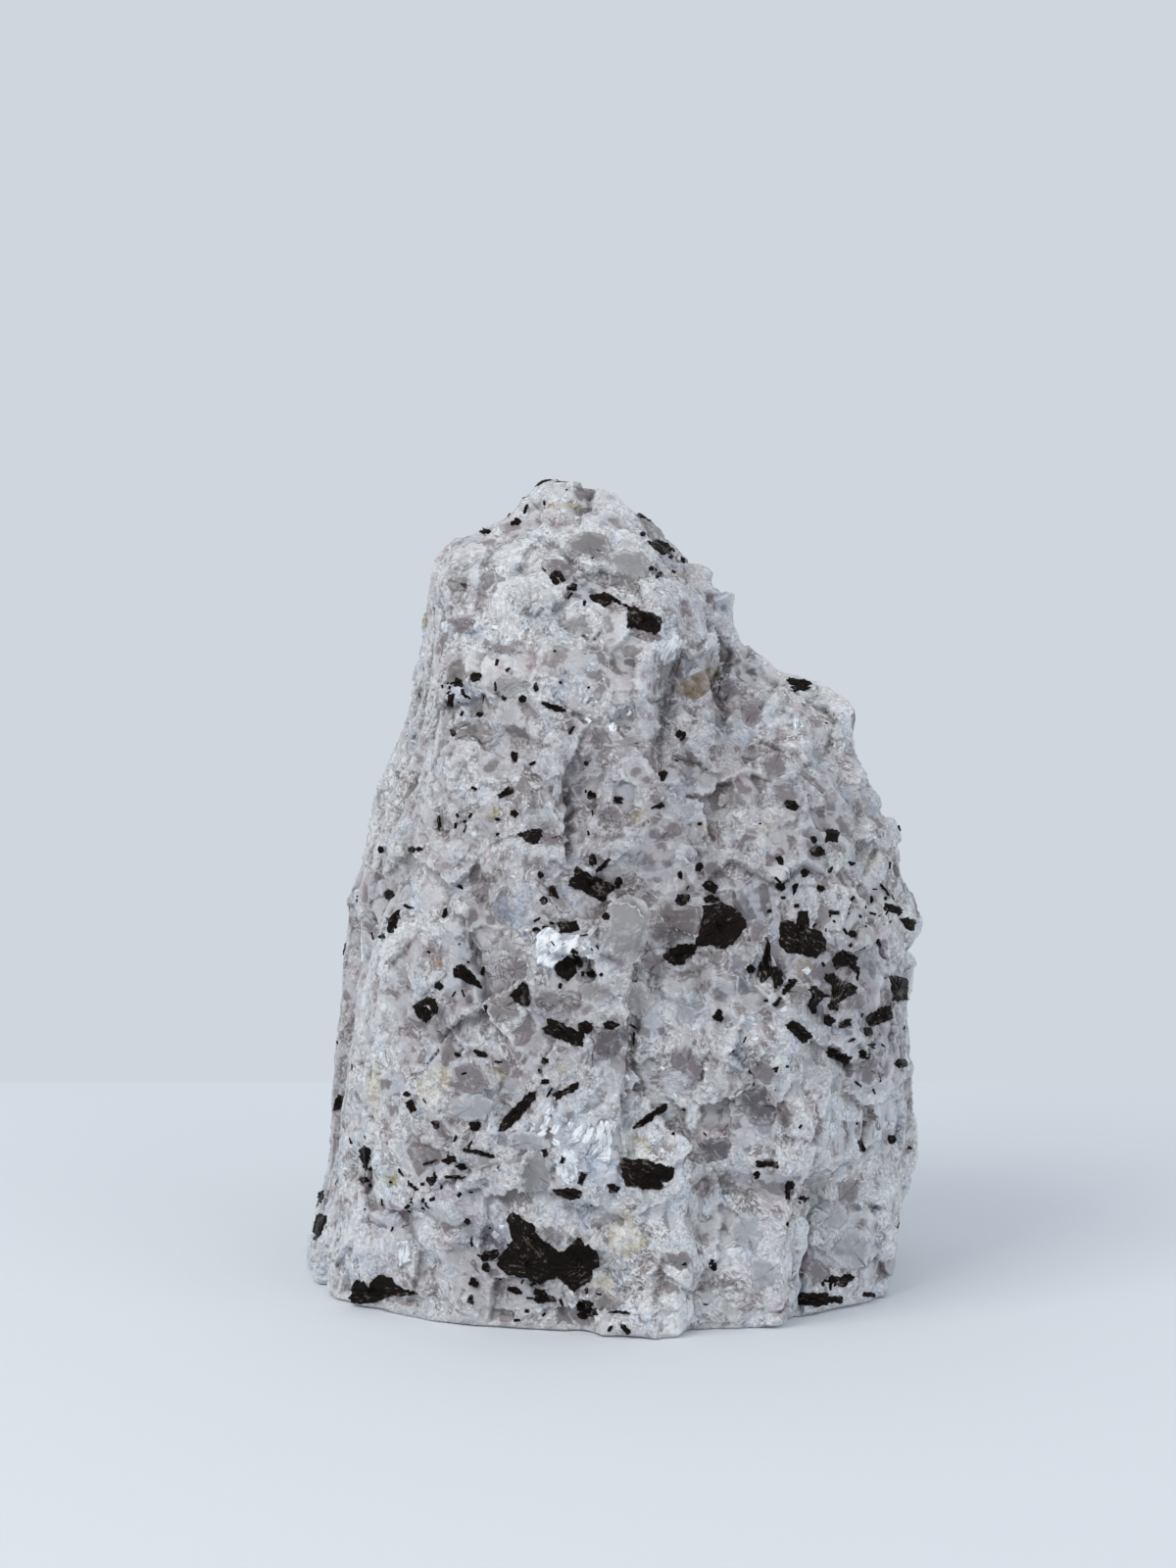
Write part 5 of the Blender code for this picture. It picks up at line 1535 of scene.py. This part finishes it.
class SpeckOperator(bpy.types.Operator):
    """Strew fine tourmaline specks over the rock"""

    bl_idname = "rock.specks"
    bl_label = "Tourmaline Specks"

    def execute(self, context):
        settings = context.scene.crystal_settings
        tourmaline = shared_material("broken_black_tourmaline", tourmaline_material, settings)
        specks = new_object("tourmaline_specks", bpy.data.objects["rock"].data.copy())
        values = {"Density": settings.speck_density, "Size": settings.speck_size, "Material": tourmaline}
        specks.data = finished_by(specks, specks_tree(), values)
        specks.data.name = "tourmaline_specks"
        finish_piece(specks, tourmaline, smooth=False)
        return {"FINISHED"}


class StageOperator(bpy.types.Operator):
    """Set the floor, the lights and the camera"""

    bl_idname = "rock.stage"
    bl_label = "Floor, Lights and Camera"

    def execute(self, context):
        settings = context.scene.stage_settings
        scene = context.scene
        mesh = bmesh.new()
        bmesh.ops.create_grid(mesh, x_segments=1, y_segments=1, size=3.0)
        data = bpy.data.meshes.new("floor")
        mesh.to_mesh(data)
        mesh.free()
        floor = new_object("floor", data)
        data.materials.append(self.floor_material(settings))

        self.area_light("key_light", Vector((-0.5, -0.42, 0.62)), 0.5, settings.key_power, linear("#FFFBF5"))
        self.area_light("fill_light", Vector((0.6, -0.5, 0.35)), 0.7, settings.fill_power, linear("#FFFFFF"))
        scene.world = bpy.data.worlds.new("soft_sky")
        scene.world.use_nodes = True
        background = scene.world.node_tree.nodes["Background"]
        background.inputs["Color"].default_value = tuple(settings.wall)
        background.inputs["Strength"].default_value = settings.sky
        scene.view_settings.view_transform = "Standard"

        camera = bpy.data.cameras.new("camera")
        camera.lens = LENS
        camera.sensor_width = SENSOR
        camera.clip_start = 0.01
        viewer = bpy.data.objects.new("camera", camera)
        scene.collection.objects.link(viewer)
        viewer.location = EYE
        viewer.rotation_euler = EYE_ANGLES
        scene.camera = viewer
        return {"FINISHED"}

    def floor_material(self, settings):
        """Pale matt card, near white under the stone and the bluish tone of a wall further back."""
        material, tree, shader = new_material("pale_card")
        place = add(tree, "ShaderNodeTexCoord").outputs["Object"]
        back = add(tree, "ShaderNodeSeparateXYZ", {0: place}).outputs["Y"]
        beyond = smooth_step(tree, back, 0.119, 0.123)
        colour = mixed(tree, beyond, tuple(settings.floor), (0.0, 0.0, 0.0, 1.0))
        fibres = add(tree, "ShaderNodeTexNoise", {"Vector": place, "Scale": 1 / (1.2 * MM), "Detail": 4.0})
        height = add(tree, "ShaderNodeMath", {0: fibres.outputs[0], 1: 0.03 * MM}, operation="MULTIPLY")
        finish = {
            "Base Color": colour, "Emission Strength": beyond, "Emission Color": tuple(settings.wall),
            "Roughness": 0.9, "Specular IOR Level": 0.0,
        }
        set_shader(tree, shader, height, finish)
        return material

    def area_light(self, name, place, size, power, colour):
        light = bpy.data.lights.new(name, "AREA")
        light.size = size
        light.energy = power
        light.color = colour[:3]
        lamp = bpy.data.objects.new(name, light)
        bpy.context.scene.collection.objects.link(lamp)
        lamp.location = place
        lamp.rotation_euler = (Vector((0, 0, 0.045)) - place).to_track_quat("-Z", "Y").to_euler()


class RockPanel(bpy.types.Panel):
    bl_idname = "VIEW3D_PT_tourmalinated_rock"
    bl_label = "Tourmalinated Quartz Rock"
    bl_space_type = "VIEW_3D"
    bl_region_type = "UI"
    bl_category = "Rock"

    def draw(self, context):
        for group in (
            context.scene.rock_settings, context.scene.crystal_settings, context.scene.stage_settings
        ):
            for name in group.bl_rna.properties.keys():
                if name not in ("rna_type", "name"):
                    self.layout.prop(group, name)
        for operator in OPERATORS:
            self.layout.operator(operator.bl_idname)


SETTINGS = {
    "rock_settings": RockSettings,
    "crystal_settings": CrystalSettings,
    "stage_settings": StageSettings,
}
OPERATORS = (
    RockOperator, TourmalineOperator, CleavageOperator, QuartzOperator, SpeckOperator, StageOperator,
)


def register():
    for kind in (*SETTINGS.values(), *OPERATORS, RockPanel):
        bpy.utils.register_class(kind)
    for name, kind in SETTINGS.items():
        setattr(bpy.types.Scene, name, PointerProperty(type=kind))


def unregister():
    for name in SETTINGS:
        delattr(bpy.types.Scene, name)
    for kind in reversed((*SETTINGS.values(), *OPERATORS, RockPanel)):
        bpy.utils.unregister_class(kind)


def main():
    register()
    for operator in OPERATORS:
        getattr(bpy.ops.rock, operator.bl_idname.split(".")[1])()


if __name__ == "__main__":
    main()
